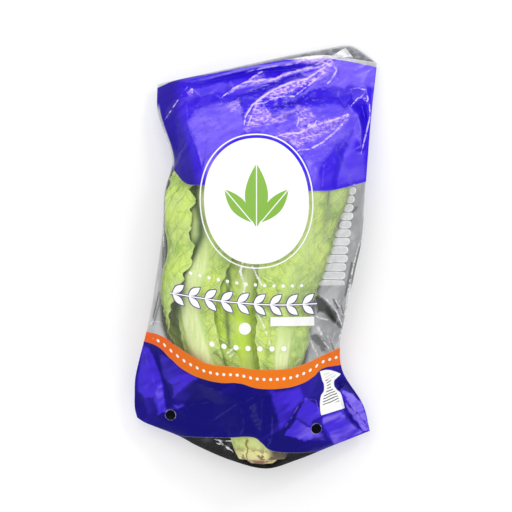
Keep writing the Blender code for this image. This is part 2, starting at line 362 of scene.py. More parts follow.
def filmHeight(x, y, side):
    # over the head the section is an ellipse, and from there the film runs straight to the bag's edge
    past = y >= bag["mouthHalfSize"][0][0] * mm
    room = along(bag["clearance"], y)
    sideRoom = along(bag["sideClearance"], y)
    halfWidth = np.where(past, along(bag["mouthHalfSize"], y), along(head["halfWidth"], y) + sideRoom)
    halfHeight = np.where(past, along(bag["mouthHalfSize"], y, 2), along(head["halfHeight"], y) + room)
    centreX, centreZ = along(head["centreX"], y), along(head["centreZ"], y)
    edgeX = np.where(x >= centreX, along(bag["rightEdge"], y), along(bag["leftEdge"], y))
    reach = np.maximum(np.abs(edgeX - centreX), halfWidth + 0.5 * mm)
    half = bag["edgeHalfThickness"] * mm
    drop = side * (along(bag["edgeHeight"], y) - centreZ) + half
    farX, farZ = reach / halfWidth, drop / halfHeight
    touch = np.arctan2(farZ, farX) + np.arccos(1 / np.hypot(farX, farZ))
    touchX, touchZ = halfWidth * np.cos(touch), halfHeight * np.sin(touch)
    distance = np.minimum(np.abs(x - centreX), reach)
    rounded = halfHeight * np.sqrt(np.clip(1 - (distance / halfWidth) ** 2, 0, 1))
    straight = touchZ + (drop - touchZ) * (distance - touchX) / (reach - touchX)
    height = np.where(distance <= touchX, rounded, straight)
    fromFold = np.maximum(0, y - along(bag["bottomFold"], x))
    closing = np.sqrt(1 - (1 - np.minimum(1, fromFold / (bag["bottomRounding"] * mm))) ** 2)
    fromSeam = np.maximum(0, np.abs(edgeX - centreX) - np.abs(x - centreX))
    closing = closing * np.sqrt(1 - (1 - np.minimum(1, fromSeam / (bag["sideRounding"] * mm))) ** 2)
    folded = centreZ + (along(bag["edgeHeight"], y) - centreZ) * (distance / reach) ** 2 + side * half
    z = folded + (centreZ + side * height - folded) * closing
    return z if side > 0 else np.maximum(z, 0.0)


def fromPhoto(px, py, side=1):
    # the place on the film that shows at a pixel of the photograph
    x = (px - photo["size"] / 2) * photo["metresPerPixel"]
    y = (photo["size"] / 2 - py) * photo["metresPerPixel"]
    fx, fy = x, y
    for _ in range(3):
        z = float(filmHeight(np.array(fx), np.array(fy), side))
        fx, fy = x * (1 - z / photo["cameraHeight"]), y * (1 - z / photo["cameraHeight"])
    return fx, fy


def seenAt(x, y, z):
    # the pixel of the photograph where a place shows
    reach = photo["metresPerPixel"] * (1 - z / photo["cameraHeight"])
    return photo["size"] / 2 + x / reach, photo["size"] / 2 - y / reach


def fromSegment(x, y, start, end):
    # the distance from a straight segment, and how far along it the nearest place is
    (ax, ay), (cx, cy) = start, end
    dx, dy = cx - ax, cy - ay
    t = np.clip(((x - ax) * dx + (y - ay) * dy) / (dx * dx + dy * dy), 0, 1)
    return np.hypot(x - ax - t * dx, y - ay - t * dy), t


def inBoxOf(px, py, corners, margin):
    low, high = corners.min(axis=0) - margin, corners.max(axis=0) + margin
    return (px > low[0]) & (px < high[0]) & (py > low[1]) & (py < high[1])


def strokes(px, py, lines):
    # up to 1 on the drawn lines, fading to their sides; a line is its width, its strength and its spots
    total = np.zeros_like(px)
    for width, strength, *line in lines:
        line = np.array(line, float)
        box = inBoxOf(px, py, line, 2.5 * width)
        bx, by = px[box], py[box]
        away, place = np.full(len(bx), 100.0), np.zeros(len(bx))
        for i, (start, end) in enumerate(zip(line, line[1:])):
            here, t = fromSegment(bx, by, start, end)
            place = np.where(here < away, (i + t) / (len(line) - 1), place)
            away = np.minimum(away, here)
        # thinner towards both ends
        thin = width * (0.35 + 0.65 * np.sqrt(np.clip(4 * place * (1 - place), 0, 1)))
        total[box] = np.maximum(total[box], strength * np.exp(-(away / thin) ** 2))
    return total


def patches(px, py, shapes):
    # up to 1 inside the drawn outlines; a shape is its border's softness, its strength and its corners
    px, py = px + 1.1 * softNoise(px / 5, py / 5, 51), py + 1.1 * softNoise(px / 5, py / 5, 52)
    total = np.zeros_like(px)
    for soft, strength, *corners in shapes:
        corners = np.array(corners, float)
        box = inBoxOf(px, py, corners, 2 * soft)
        bx, by = px[box], py[box]
        away, inside = np.full(len(bx), 100.0), np.zeros(len(bx), bool)
        for (ax, ay), (cx, cy) in zip(corners, np.roll(corners, -1, axis=0)):
            away = np.minimum(away, fromSegment(bx, by, (ax, ay), (cx, cy))[0])
            inside ^= ((ay > by) != (cy > by)) & (bx < ax + (by - ay) * (cx - ax) / (cy - ay or 1.0))
        total[box] = np.maximum(total[box], strength * ease(np.where(inside, away, -away), -soft, soft))
    return total


# Creases of the front film: across and down in the photograph's pixels, and height in millimetres.
# The film is flat between neighbouring creases.
creases = [
    # mouth, left to right
    [(186, 83, 0), (215, 77, 1.5), (250, 68, 2.5), (268, 66.3, 3), (294, 62, 3), (315, 60, 2.2),
     (330, 60, 2.4)],
    [(200, 84, -1), (228, 77, -2.2), (250, 72.5, -3), (283, 70, -3), (305, 67, -2.4), (322, 64, -1)],
    [(226, 96, 0), (234, 89, 2.2), (262, 83.5, 2.8), (276, 79.3, 3.2), (283, 75, 3.2), (300, 71.5, 3.2),
     (322, 65, 2.6)],
    [(222, 105, -1), (240, 96, -2.4), (265, 88, -2.8), (284, 81, -1.2), (300, 76, 0.2)],
    [(244, 130, 1), (243, 119, 3), (250, 108, 3.8), (259, 99, 4.4), (271, 90.5, 4.8), (289, 83, 4.8),
     (308, 78, 4.4),
     (328, 70, 3.8), (334, 62, 2.6)],
    [(262, 104, 2.4), (280, 99, 2.6), (293, 98, 3), (304, 93.6, 3.4), (313, 85, 3.6), (330, 72.5, 3.4)],
    [(282, 106, -1.6), (300, 103, -2.4), (318, 98, -2.4), (329, 89, -1.5), (337, 98, -2.4), (345, 108, -2)],
    # loop over the right shoulder
    [(275, 137.5, 0.8), (292, 135, 2.2), (308, 132, 2.8), (321, 126, 3.2), (340, 118.5, 3.2),
     (351, 115, 2.4)],
    [(302, 149, 0.8), (321, 142, 2.4), (339, 129, 3), (351, 116.5, 2.4)],
    [(312, 137, 1.0), (326, 130, 1.3), (340, 122, 1.6)],
    [(284, 116, 0), (296, 112, 1.6), (306, 118, 0.4), (298, 128, 1.2)],
    [(252, 114, 0.6), (262, 112, 2.2), (272, 108, 0.2), (283, 112, 1.8), (276, 122, 1), (262, 124, 0.2)],
    # deep valley down the right side and the plateau above it
    [(347, 103, -1), (354, 103, -3), (362, 107, -4.6), (366, 120, -5.5), (365, 136, -4.6), (363, 152, -1.5)],
    [(352, 111, 1.8), (358, 116.5, 2.4), (360.5, 129, 2.4), (361, 146, 1.2)],
    [(366, 89, 3), (369, 98, 2.4), (371, 118, 1.2), (370, 136, 1.0), (365, 156, 0)],
    [(338, 64, 1.8), (352, 74, 2.4), (340, 82, 2.0)],
    [(372, 69, 1.2), (362, 84, 2.2), (352, 92, -1.0), (361, 97, 0.6)],
    [(353, 131, -1), (348, 141, -2.4), (341, 150, -3), (338, 161, -3), (333, 179, -2.8), (331, 200, -1.8),
     (329, 240, -1.2)],
    [(332, 148, 1.4), (324, 164, 1.2), (322, 190, 0.8)],
    [(354, 150, 0.8), (350, 176, 1.0)],
    # left flank
    [(186, 101, 0.4), (188, 122, 2.4), (191, 133, 2.8), (198, 148, 2.8), (203, 168, 2.4), (206, 190, 1.2)],
    [(174, 118, -1.6), (180, 148, -2.4), (186, 174, -1.8)],
    [(187, 86, 1.2), (175, 99, 1.2), (164, 112, 0.8)],
    [(193, 90, 2.6), (186, 98, 1.4), (195, 98, 0.6)],
    [(201, 96, 2.4), (212, 93, 2.8), (221, 98, 1.4)],
    [(197, 111, -0.8), (210, 107, -0.9), (228, 104, -0.8)],
    [(196, 129, 0.9), (203, 119, -0.4), (207, 137, -0.4), (213, 126, 0.7), (217, 117, -0.4), (224, 131, 0.5)],
    [(230, 110, 1.0), (236, 101, 1.4), (241, 107, 0)],
    # bottom panel, left
    [(146, 352, 1.6), (150, 372, 2.2), (156, 392, 2.8), (160, 412, 2.2)],
    [(158, 352, 0), (162, 376, -1.6), (168, 388, -2.6), (171, 399, -2.4)],
    [(136, 391, 0.8), (143, 402, 0.8), (151, 415, 0.8)],
    [(178, 380, 1.6), (196, 383, 1.2), (220, 392, 1.4)],
    [(178, 407, 1.8), (187, 402, -2.2), (206, 398, -2.2), (215, 404, -1.8)],
    [(188, 420, 1.2), (214, 420, 1.0), (240, 402, 1.2)],
    [(226, 430, -1.4), (244, 424, 1.2), (262, 398, -1.6), (262, 430, -1.4)],
    [(276, 396, 1.4), (272, 420, 1.6), (272, 440, 1.0)],
    # bottom panel, right
    [(305, 398, 1.6), (299, 406, 1.8), (295.6, 417, 3.0), (284, 434.5, 0.6)],
    [(305, 398, 1.6), (316, 402, 0.4), (321, 417, 0.8), (312, 428, -1.4), (295.6, 417, 3.0)],
    [(312, 428, -1.4), (313, 434, 0.6), (297, 439, -0.6)],
    [(321, 417, 0.8), (343, 411, 3.4), (355, 430, 2.6)],
    [(321, 429.6, -1.8), (326, 436, -1.6), (334, 442, 0.8)],
    [(338, 395, -0.6), (349, 413, -0.8), (359, 428, -0.4)],
    [(341, 389.5, 3.8), (353, 408, 5.0), (363, 429, 3.6)],
    [(345, 390, 3.6), (355, 407, 3.8), (365, 427, 2.8)],
    [(343.5, 388, 3.8), (354, 395, 5.2), (361, 405, 5.0), (368, 425, 3.0)],
    [(334, 382, -2.2), (340, 386, -3.4), (348, 381, -3.2), (344, 374, -1)],
    # clear film at the right of the window
    [(313, 296, 1.8), (329, 309, 3.0), (342, 331, 2.2)],
    [(321, 300, -2.2), (333, 316, -3.0), (339, 328, -2)],
    [(345, 296, 2.0), (343, 312, -1.6), (350, 318, 1.6)],
    [(313, 328, 1.8), (323, 337, 2.2), (330, 354, 1.8)],
    [(316, 340, -2.2), (324, 352, -2.4)],
    [(331, 334, -2.0), (337, 348, -1.8), (344, 340, 1.2)],
    [(349, 216, 1.4), (354, 236, -0.8), (348, 252, 1.2), (352, 266, -1.0), (344, 280, 1.2)],
    # over the leaves
    [(247, 264, 1.0), (243, 284, 1.2), (247, 308, 1.0), (244, 330, 0.2)],
    [(236, 268, -0.6), (233, 290, -0.8), (238, 316, -0.4)],
    [(256, 268, -0.6), (254, 292, -0.8), (257, 316, -0.4)],
    [(219, 344, 0.4), (226, 352, 1.2), (237, 350, 0.2)],
]
# painted highlights: thin bright creases
glints = [
    (1.1, 1.0, (243.6, 130), (245.2, 117), (252.5, 104.7), (266.3, 94.1), (278.3, 87.2), (292, 82),
     (306, 79), (314.5, 73.9), (324.8, 67), (333.4, 61)),
    (0.9, 0.8, (246, 131), (250.5, 118), (256, 107)),
    (1.0, 0.7, (262, 103), (267, 110), (272, 118), (277, 120), (284, 114)),
    (0.8, 0.7, (254, 104), (263, 103), (266, 108)),
    (1.0, 0.8, (244, 72.5), (256, 69.6), (268, 67), (285, 65), (300, 62.5), (312, 60)),
    (1.0, 0.8, (334, 66), (337, 70), (333, 77), (328, 84)),
    (1.1, 0.9, (327, 84), (332, 79)),
    (1.0, 0.8, (262, 104), (273, 98.5), (285, 96), (294, 96.3), (302.4, 90.2), (311, 83.4), (319.7, 76.5),
     (328, 68.5)),
    (1.2, 0.9, (222, 97), (233.6, 88.5), (247.4, 81.6), (262.9, 79.9), (274.9, 79.1), (281.8, 74.8),
     (299, 70.4), (324, 64.8)),
    (1.2, 0.9, (273, 138), (285.2, 133.6), (299, 133.3), (307.6, 128.1), (323, 122.9), (337, 118.6),
     (348.5, 114)),
    (1.2, 0.8, (297, 151), (311, 148.8), (323, 141.9), (333.4, 133.3), (342, 124.7), (349, 114)),
    (0.9, 0.8, (350, 89), (358, 88), (366, 90), (368, 99), (366, 104)),
    (0.8, 0.7, (366, 98), (358, 98), (351, 106)),
    (0.8, 0.55, (188, 86), (178, 100), (170, 112), (160, 127)),
    (0.8, 0.5, (248, 92), (262, 86), (276, 83)),
    (1.0, 0.45, (285, 428), (293, 415), (300.7, 402), (306, 398.7), (316, 400.4), (320, 417)),
    (1.2, 0.8, (342, 391), (350.6, 404), (359, 417), (369, 430)),
    (0.9, 0.5, (344, 402), (354, 416), (368, 431)),
    (1.4, 0.3, (143, 344), (147, 362), (153, 378), (157, 394), (160, 408)),
    (0.9, 0.3, (177, 416), (190, 405), (212, 402)),
    (0.8, 0.3, (296, 436), (304, 430), (313, 433)),
    (0.8, 0.3, (262, 398), (267, 412), (266, 432)),
    (1.0, 0.9, (292, 64.4), (306, 58.6), (320, 61), (330, 58)),
    (1.0, 0.9, (247.4, 81.6), (256, 74.8), (263, 71.3)),
    (1.0, 0.8, (312, 66), (322, 62), (332, 66)),
    (0.9, 0.7, (300, 68.5), (312, 66.5), (321, 67.5)),
    (0.9, 0.8, (188, 93), (192, 89), (192.5, 93)),
    (0.9, 0.6, (227, 108), (233, 104), (240, 106)),
    (0.9, 0.9, (307, 131), (309, 124), (313, 127), (317, 120)),
    (0.9, 0.8, (300, 139), (311, 136), (321, 134)),
    (0.9, 0.7, (313, 126), (325, 124), (334, 119)),
    (0.9, 0.7, (296, 112), (299, 118), (297, 126)),
    (0.8, 0.8, (368, 99), (366, 91), (361, 97), (367, 102)),
    (0.9, 0.8, (369.5, 104), (370, 117), (366, 134), (361, 154)),
    (0.9, 0.6, (288, 141), (296, 146), (303, 152)),
    (0.8, 0.9, (213, 439), (222, 441), (233, 441)),
    (0.9, 0.9, (216, 443), (226, 446), (233, 452)),
    (0.8, 0.8, (219, 441), (224, 445), (229, 450)),
    (0.9, 0.9, (318, 294.5), (324, 297), (331, 304), (337, 312), (341, 322.7), (342.4, 328)),
    (0.8, 0.8, (330.5, 295.5), (335, 299), (339.5, 307), (343, 316)),
    (1.6, 0.8, (315, 315.5), (322, 318.6), (328, 320)),
    (0.9, 0.7, (330, 321), (336, 326), (340, 329)),
    (0.8, 0.6, (336, 324), (335, 333), (331, 344)),
    (2.0, 0.9, (317, 326), (320, 331), (322, 336)),
    (0.9, 0.8, (312, 329), (320, 337), (328, 347), (331, 351)),
    (1.5, 0.9, (310.7, 340), (313.5, 347), (318, 356)),
    (1.0, 0.7, (322, 327), (327, 335), (331.5, 346)),
    (1.0, 0.8, (342, 329), (338.7, 340), (335.5, 348)),
    (0.8, 0.6, (341, 296), (339, 303), (341.5, 310)),
    (0.9, 0.9, (354, 262), (352, 274), (350.5, 286), (348.5, 298), (345.8, 314), (343, 328)),
    (0.9, 0.8, (360.5, 240), (357, 251), (353.5, 266), (350, 280), (346.5, 300), (344, 318)),
    (1.6, 1.0, (243, 262), (240, 272), (245, 284), (243, 300)),
    (1.4, 0.95, (252, 266), (257, 276), (263, 288)),
    (1.1, 0.5, (238, 262), (241, 278)),
    (1.1, 0.8, (256, 311), (263, 324), (268, 337), (271.5, 350)),
    (1.5, 0.8, (226, 354), (233, 349), (241, 348)),
    (1.2, 0.7, (229, 357), (237, 352)),
    (1.1, 0.5, (200, 262), (191, 276), (188, 290)),
    (1.0, 0.8, (149, 325), (154, 321), (160, 322)),
    (0.9, 0.7, (163.5, 198), (163, 225), (164, 250)),
    (1.0, 0.5, (153, 300), (157, 288), (160, 272)),
]
# painted shade: dark lines in the hollows of the clear film, and where the seams turn away from the light
shades = [
    (1.1, 0.9, (364, 216), (362, 241), (358.5, 254), (354.5, 268), (350.5, 292)),
    (1.1, 0.8, (352, 262), (349, 280), (345, 296)),
    (0.8, 0.7, (164.6, 233), (163.2, 250), (162.6, 268)),
    (0.9, 0.5, (159, 292), (156, 306), (153, 318)),
    (1.0, 0.4, (163, 283), (162, 296), (157, 312), (153, 325)),
    (1.3, 0.7, (357, 207), (352, 212)),
    (2.0, 0.8, (330.5, 180), (329, 192), (327.5, 206)),
    (6.0, 0.44, (331, 184), (329, 205), (326, 228), (324, 244)),
    (0.8, 0.8, (352.5, 271), (350, 285), (348.5, 297)),
    (0.8, 0.8, (347, 298), (345.5, 308), (344, 318)),
    (0.8, 0.5, (330, 340), (333, 348), (335, 352)),
    (0.8, 0.5, (341, 305), (343, 312), (342, 318)),
]
# painted shade where the clear film lies open over the dark back
openPatches = [
    (0.9, 1.0, (314.4, 297), (317.2, 295.3), (321.8, 297.6), (325.8, 301.6), (331, 306.7), (335.6, 312.5),
     (337.3, 316), (336.7, 321.7), (335.6, 323.4), (332.1, 321.7), (329.9, 317.6), (325.3, 313.6),
     (320.1, 311.3), (317.8, 312.5)),
    (0.7, 0.9, (332.7, 298), (334.4, 298.7), (336.7, 302.7), (339, 307.9), (337.3, 308.5), (335, 304.4)),
    (0.7, 0.95, (337.3, 319.5), (339.8, 321.5), (341.5, 327.4), (339.4, 326.8), (337.7, 324)),
    (1.5, 0.7, (310.9, 336), (316, 334), (321.2, 337.2), (324.1, 341.2), (327.4, 347), (323, 346.5),
     (317.2, 343.5), (312.1, 339.5)),
    (1.0, 0.6, (321, 346), (324.5, 347), (325, 351), (321.5, 351)),
]
# painted sheen: facets that catch the light, and the crumpled strips along the folds
plateaus = [
    (2.0, 0.9, (196, 110.4), (212.3, 104), (225, 102.6), (241.8, 106.8), (243.2, 123.7), (244.6, 131.4),
     (219.3, 150), (208, 175), (200, 157), (193, 133.5), (188, 123), (192, 116)),
    (2.5, 0.62, (250, 112), (262, 108), (275, 112), (292, 108), (312, 107), (336, 104), (350, 108),
     (358, 116), (359, 135), (352, 150), (345, 165), (340, 150), (345, 137), (332, 150), (320, 165),
     (314, 186), (305, 160), (290, 142), (262, 133), (246, 131)),
    (1.6, 0.95, (328.7, 64.8), (335.7, 58.5), (377, 64), (374, 87.3), (363.8, 87.3), (349.7, 84.5),
     (344.8, 89.4), (335.7, 85.2), (327.3, 87.3), (311, 89.4), (304, 93), (311, 84.5), (325, 71)),
    (1.5, 0.9, (293.6, 61.3), (304, 56), (314, 53), (327.3, 54), (331, 58), (321.6, 64), (312.5, 64.8),
     (301.3, 62)),
    (1.2, 0.4, (186, 90), (205, 87.5), (222, 82), (235, 84), (224, 92), (206, 94), (193, 98)),
    (1.0, 0.85, (284, 80.5), (300, 74), (314, 70.5), (321, 69.5), (312, 76.5), (298, 80.5), (287, 84)),
    (2.2, 0.38, (342, 152), (352, 150), (364, 152), (365, 178), (345, 184), (333, 186), (337, 170)),
    (2.5, 0.34, (270, 392), (284, 390), (300, 388), (303, 397), (296, 408), (290, 420), (280, 428),
     (276, 412)),
    (1.5, 0.42, (141.2, 345.5), (148.2, 347), (153.2, 356), (161.6, 377), (163, 389.7), (164.4, 399.6),
     (166.5, 412), (157.4, 415), (156, 405), (153.2, 397), (146, 398), (139, 392.5), (137.7, 380.6),
     (139.8, 363)),
    (1.2, 0.62, (156, 384), (161, 380), (163, 392), (165, 402), (166, 412), (158, 414), (157, 402),
     (155, 393)),
    (1.6, 0.3, (160, 354), (169, 358), (183, 368), (199, 378.5), (187.5, 384), (179, 392.5), (173.5, 397),
     (172, 384), (163.7, 378.5), (161, 366.6)),
    (0.9, 0.45, (173.5, 405), (185.4, 405.9), (177.7, 409.6)),
    (1.0, 0.5, (305.5, 398), (311.6, 401), (320, 408.7), (321.6, 416.3), (313, 420), (311, 426.6),
     (301, 422.4), (296.3, 417.4), (300, 407)),
    (1.0, 0.66, (296.3, 419), (310.9, 428), (313, 432.4), (323.9, 434), (326.2, 440), (304, 440.8),
     (293.3, 437.7), (284, 435.4), (288.7, 428.6)),
    (1.2, 0.68, (328.4, 414.8), (340, 411), (349, 418), (363.6, 431.6), (348, 440.5), (334.2, 446),
     (328.4, 433.2), (321.6, 424), (323, 417.8)),
    (0.9, 1.0, (342.2, 389.5), (351.4, 392.6), (362, 403.3), (367.5, 418), (369, 427), (365.2, 424),
     (354.5, 409.4), (343, 393.4)),
    (0.8, 1.0, (344.5, 399.5), (350.6, 407.9), (362, 421.7), (368.2, 430), (363.6, 431), (354.5, 420),
     (346.8, 407)),
]
crumpledSheen = [
    (1.3, 1.0, (262, 97), (274.6, 88), (292.2, 81.7), (310.4, 78.2), (323.8, 69.8), (327, 72), (319.5, 79),
     (307, 84.5), (298.5, 87.3), (290, 93), (279.5, 96.4), (276, 101), (269, 98.5)),
    (1.1, 0.9, (262, 79), (276, 79), (286, 72.6), (301.3, 68.4), (312.5, 66.2), (323, 64.5), (325, 67),
     (311, 69.8), (297, 72), (281.6, 77.5), (277.4, 81.7), (262, 82.4), (240, 88), (228, 94), (236, 86.5)),
    (1.2, 1.0, (293.6, 61.3), (304, 56), (314, 53), (327.3, 54), (331, 58), (321.6, 64), (312.5, 64.8),
     (301.3, 62)),
    (1.0, 0.9, (318, 68), (326, 58), (333, 59), (334, 64), (328, 70), (322, 74)),
    (1.5, 0.8, (250, 112), (262, 106), (269, 110), (276, 119), (288, 113), (286, 121), (272, 124),
     (253, 127), (246, 131)),
    (1.5, 0.85, (244, 131), (247, 118), (256, 103), (262, 98), (258, 108), (252, 118), (250, 131)),
    (1.8, 0.62, (275, 134.5), (292, 129.5), (305, 126), (323, 120), (350, 114.5), (345, 123), (328.3, 132),
     (314.5, 141), (298, 147), (288, 142)),
    (1.4, 0.7, (294, 104), (301, 106), (309, 108), (316, 118), (306, 127), (298, 124), (301, 114)),
    (1.0, 0.6, (225, 105), (231, 101), (240, 101), (241, 108), (232, 111)),
    (1.0, 0.7, (247, 82), (259, 70.5), (265, 71), (262, 78)),
    (0.9, 0.7, (187, 93), (191, 88), (193, 92), (190, 97)),
]
# painted shade in the valleys of the band and the panel
valleys = [
    (0.9, 0.9, (177, 85.5), (197, 81), (216, 76.5), (240, 71.5), (258, 68), (275, 67), (292, 64.5),
     (303, 64), (312.5, 66), (324, 64), (312, 67.6), (298, 69.2), (279.5, 73), (266, 72.3), (250, 77),
     (226, 82), (205, 86), (190, 89)),
    (1.6, 0.3, (187, 105.7), (194, 93.7), (209.5, 88.5), (225, 96.3), (244, 92), (268, 83), (280, 84),
     (264.6, 93.7), (250.8, 104), (240.5, 104), (230, 102.3), (216.4, 104), (201, 108.3), (192.3, 112.6)),
    (1.6, 0.42, (289.4, 99), (312.5, 89.4), (327.3, 88.4), (335.7, 86), (344.8, 90), (349.7, 85.2),
     (363.8, 89.4), (358.8, 93.6), (350.4, 98.5), (353.2, 104), (344.8, 108.4), (335.7, 103.4),
     (319.5, 106.2), (304, 104), (292.2, 101.3)),
    (0.9, 1.0, (350.6, 105), (360, 104), (369.6, 105), (370.4, 126.4), (366, 150.5), (361.5, 148.8),
     (362, 126.4), (356.8, 112.6)),
    (1.3, 1.0, (346, 141), (349, 144), (343, 155), (341, 166), (338, 180), (336.5, 190), (331.5, 190),
     (333, 176), (335.5, 163), (338, 153)),
    (1.0, 0.8, (161.6, 378.5), (172, 384), (172.8, 398), (168, 402.4), (164.4, 398)),
    (1.0, 0.9, (173.5, 401), (186, 402.4), (189.6, 398), (207, 384), (193, 406.6), (186, 405.6)),
    (1.4, 0.9, (136, 389.7), (143.3, 398), (148, 415.7), (142.6, 423), (134, 420), (133, 405)),
    (1.0, 0.9, (335.3, 381), (340.7, 376.5), (350.6, 379.6), (358.3, 390.3), (362, 401.8), (352, 392.6),
     (341.5, 388.4), (337.6, 388.8)),
    (0.9, 0.8, (343.8, 411.7), (349, 416.3), (362, 430.9), (356.8, 427.8), (346.8, 420)),
    (0.8, 0.7, (296, 417.6), (304, 421.6), (311, 426.4), (311, 428), (303, 424.6)),
    (0.8, 0.7, (321.4, 430), (328, 436), (333.6, 443.6), (332.4, 444.6), (326, 438.6)),
    (1.2, 0.8, (326, 434), (334, 444), (320, 449), (300, 452), (280, 450), (270, 446), (284, 437),
     (304, 441.6)),
]
# spots where the film keeps to its smooth shape
uncreased = [
    (196, 232), (204, 160), (226, 140), (256, 133), (290, 142), (311, 170), (313, 220), (300, 250),
    (256, 270), (214, 252), (176, 260), (170, 300), (176, 340), (200, 330), (220, 300), (280, 300),
    (300, 340), (280, 360), (236, 366), (332, 285), (176, 210), (340, 205), (345, 250),
]


def creaseRelief(x, y):
    # flat triangles between the creases, by a triangulation that keeps every crease as an edge
    corners, heights, kept = [], [], []
    for crease in creases:
        kept.extend((len(corners) + i, len(corners) + i + 1) for i in range(len(crease) - 1))
        corners.extend(fromPhoto(px, py) for px, py, _ in crease)
        heights.extend(height for *_, height in crease)
    flat = [fromPhoto(*spot) for spot in uncreased]
    for side in ("leftEdge", "rightEdge"):
        steps = np.linspace(bag[side][0][0], bag[side][-1][0], 15) * mm
        flat.extend((float(along(bag[side], step)), step) for step in steps)
    for side in ("bottomFold", "frontMouth"):
        steps = np.linspace(bag[side][0][0], bag[side][-1][0], 13)[1:-1] * mm
        flat.extend((step, float(along(bag[side], step))) for step in steps)
    corners += flat
    heights += [0] * len(flat)
    found = delaunay_2d_cdt([Vector(c) for c in corners], kept, [], 0, 1e-6)
    spots = np.array([tuple(v) for v in found[0]])
    level = np.array([np.mean([heights[i] for i in origin]) if origin else 0.0 for origin in found[3]])
    total = np.zeros_like(x)
    for a, b, c in found[2]:
        (ax, ay), (bx, by), (cx, cy) = spots[a], spots[b], spots[c]
        area = (bx - ax) * (cy - ay) - (cx - ax) * (by - ay)
        if abs(area) < 1e-12:
            continue
        inBox = (x >= min(ax, bx, cx)) & (x <= max(ax, bx, cx))
        inBox &= (y >= min(ay, by, cy)) & (y <= max(ay, by, cy))
        px, py = x[inBox], y[inBox]
        shareB = ((px - ax) * (cy - ay) - (cx - ax) * (py - ay)) / area
        shareC = ((bx - ax) * (py - ay) - (px - ax) * (by - ay)) / area
        inside = (shareB >= -1e-9) & (shareC >= -1e-9) & (shareB + shareC <= 1 + 1e-9)
        part = total[inBox]
        part[inside] = (level[a] * (1 - shareB - shareC) + level[b] * shareB + level[c] * shareC)[inside]
        total[inBox] = part
    return total * mm


# the most crumpled spots: across, down, radius and strength
busySpots = [(300, 90, 16, 1), (272, 98, 14, 1), (330, 66, 14, 1), (314, 57, 12, 1), (318, 134, 20, 1),
             (300, 120, 12, 1), (264, 116, 16, 1), (206, 124, 14, 0.7), (234, 104, 9, 0.8)]


def crumple(x, y):
    # creased facets at four sizes, longer along the folds than across them
    made = []
    for turn, length, width, seed in ((28, 30, 13, 3), (33, 15, 4.6, 8), (22, 8, 2.4, 15), (62, 5, 1.9, 23)):
        lengthways, across = turned(x, y, turn)
        made.append(facetNoise(lengthways / (length * mm), across / (width * mm), seed))
    return made


def near(x, y, px, py, radius):
    cx, cy = fromPhoto(px, py)
    return np.exp(-((x - cx) ** 2 + (y - cy) ** 2) / (radius * mm) ** 2)


def frontRelief(x, y):
    big, middle, small, fine = crumple(x, y)
    top = ease(y, 40 * mm, 75 * mm)
    panel = 1 - ease(y, -92 * mm, -78 * mm)
    window = (1 - top) * (1 - panel)
    rightSide = ease(x, 44 * mm, 60 * mm) * window
    busy = sum(strength * near(x, y, px, py, radius) for px, py, radius, strength in busySpots)
    busy = np.minimum(busy, 1.3)
    relief = big * (0.45 * top + 0.5 * panel + 0.25 * window + 0.5 * rightSide)
    relief = relief + middle * (0.22 * top + 0.40 * busy + 0.22 * panel + 0.10 * window + 0.55 * rightSide)
    relief = relief + small * (0.06 * top + 0.34 * busy + 0.05 * panel + 0.03 * window + 0.30 * rightSide)
    relief = relief + fine * (0.14 * busy + 0.08 * rightSide)
    plateX, plateY = fromPhoto(256.5, 200.5)
    plate = np.exp(-(((x - plateX) / (44 * mm)) ** 2 + ((y - plateY) / (52 * mm)) ** 2) ** 2)
    return relief * mm * (1 - 0.8 * plate) + creaseRelief(x, y), busy


def drawnValues(x, y, z, busy):
    # painted light on the printed front: bright ridges, dark hollows, pale facets and crumpled strips
    px, py = seenAt(x, y, z)
    hollows = [(2.8, min(1.0, -min(spot[2] for spot in crease) / 4.0), *(spot[:2] for spot in crease))
               for crease in creases if sum(spot[2] for spot in crease) < -0.8 * len(crease)]
    big, middle, small, _ = crumple(x, y)
    pale = patches(px, py, plateaus) * (0.90 + 0.20 * middle + 0.16 * small)
    pale = pale + 0.16 * ease(big + 0.6 * middle, 0.1, 0.9)
    return {
        "glint": strokes(px, py, glints),
        "hollow": np.maximum(0.5 * strokes(px, py, hollows), patches(px, py, valleys)),
        "dark": np.maximum(strokes(px, py, shades), patches(px, py, openPatches)),
        "pale": np.clip(pale, 0, 1),
        "busy": busy,
        "crumpledSheen": patches(px, py, crumpledSheen),
    }


def blurred(value, rounds=1):
    for _ in range(rounds):
        value = np.pad(value, 1, mode="edge")
        sides = value[:-2, 1:-1] + value[2:, 1:-1] + value[1:-1, :-2] + value[1:-1, 2:]
        corners = value[:-2, :-2] + value[:-2, 2:] + value[2:, :-2] + value[2:, 2:]
        value = (4 * value[1:-1, 1:-1] + 2 * sides + corners) / 16
    return value


leafTops = []  # the outer leaves' points, for the film to lie on


def overLeaves(x, y, z):
    # the film rests on the leaves: lift it wherever a leaf comes within its thickness
    cell = 1.5 * mm
    points = np.concatenate(leafTops)
    columns, rows = 150, 240
    low = np.array([-columns / 2, -rows / 2]) * cell
    place = np.clip(((points[:, :2] - low) / cell).astype(int), 0, [columns - 1, rows - 1])
    top = np.zeros((rows, columns))
    np.maximum.at(top, (place[:, 1], place[:, 0]), points[:, 2])
    for _ in range(2):
        padded = np.pad(top, 1, mode="edge")
        top = np.max([padded[i:i + rows, j:j + columns] for i in range(3) for j in range(3)], axis=0)
    top = blurred(top, 2)
    gx = np.clip((x - low[0]) / cell - 0.5, 0, columns - 1.001)
    gy = np.clip((y - low[1]) / cell - 0.5, 0, rows - 1.001)
    i, j = gx.astype(int), gy.astype(int)
    fx, fy = gx - i, gy - j
    level = ((top[j, i] * (1 - fx) + top[j, i + 1] * fx) * (1 - fy)
             + (top[j + 1, i] * (1 - fx) + top[j + 1, i + 1] * fx) * fy) + 0.4 * mm
    soft = 0.5 * mm
    return level + soft * np.logaddexp(0, (z - level) / soft)


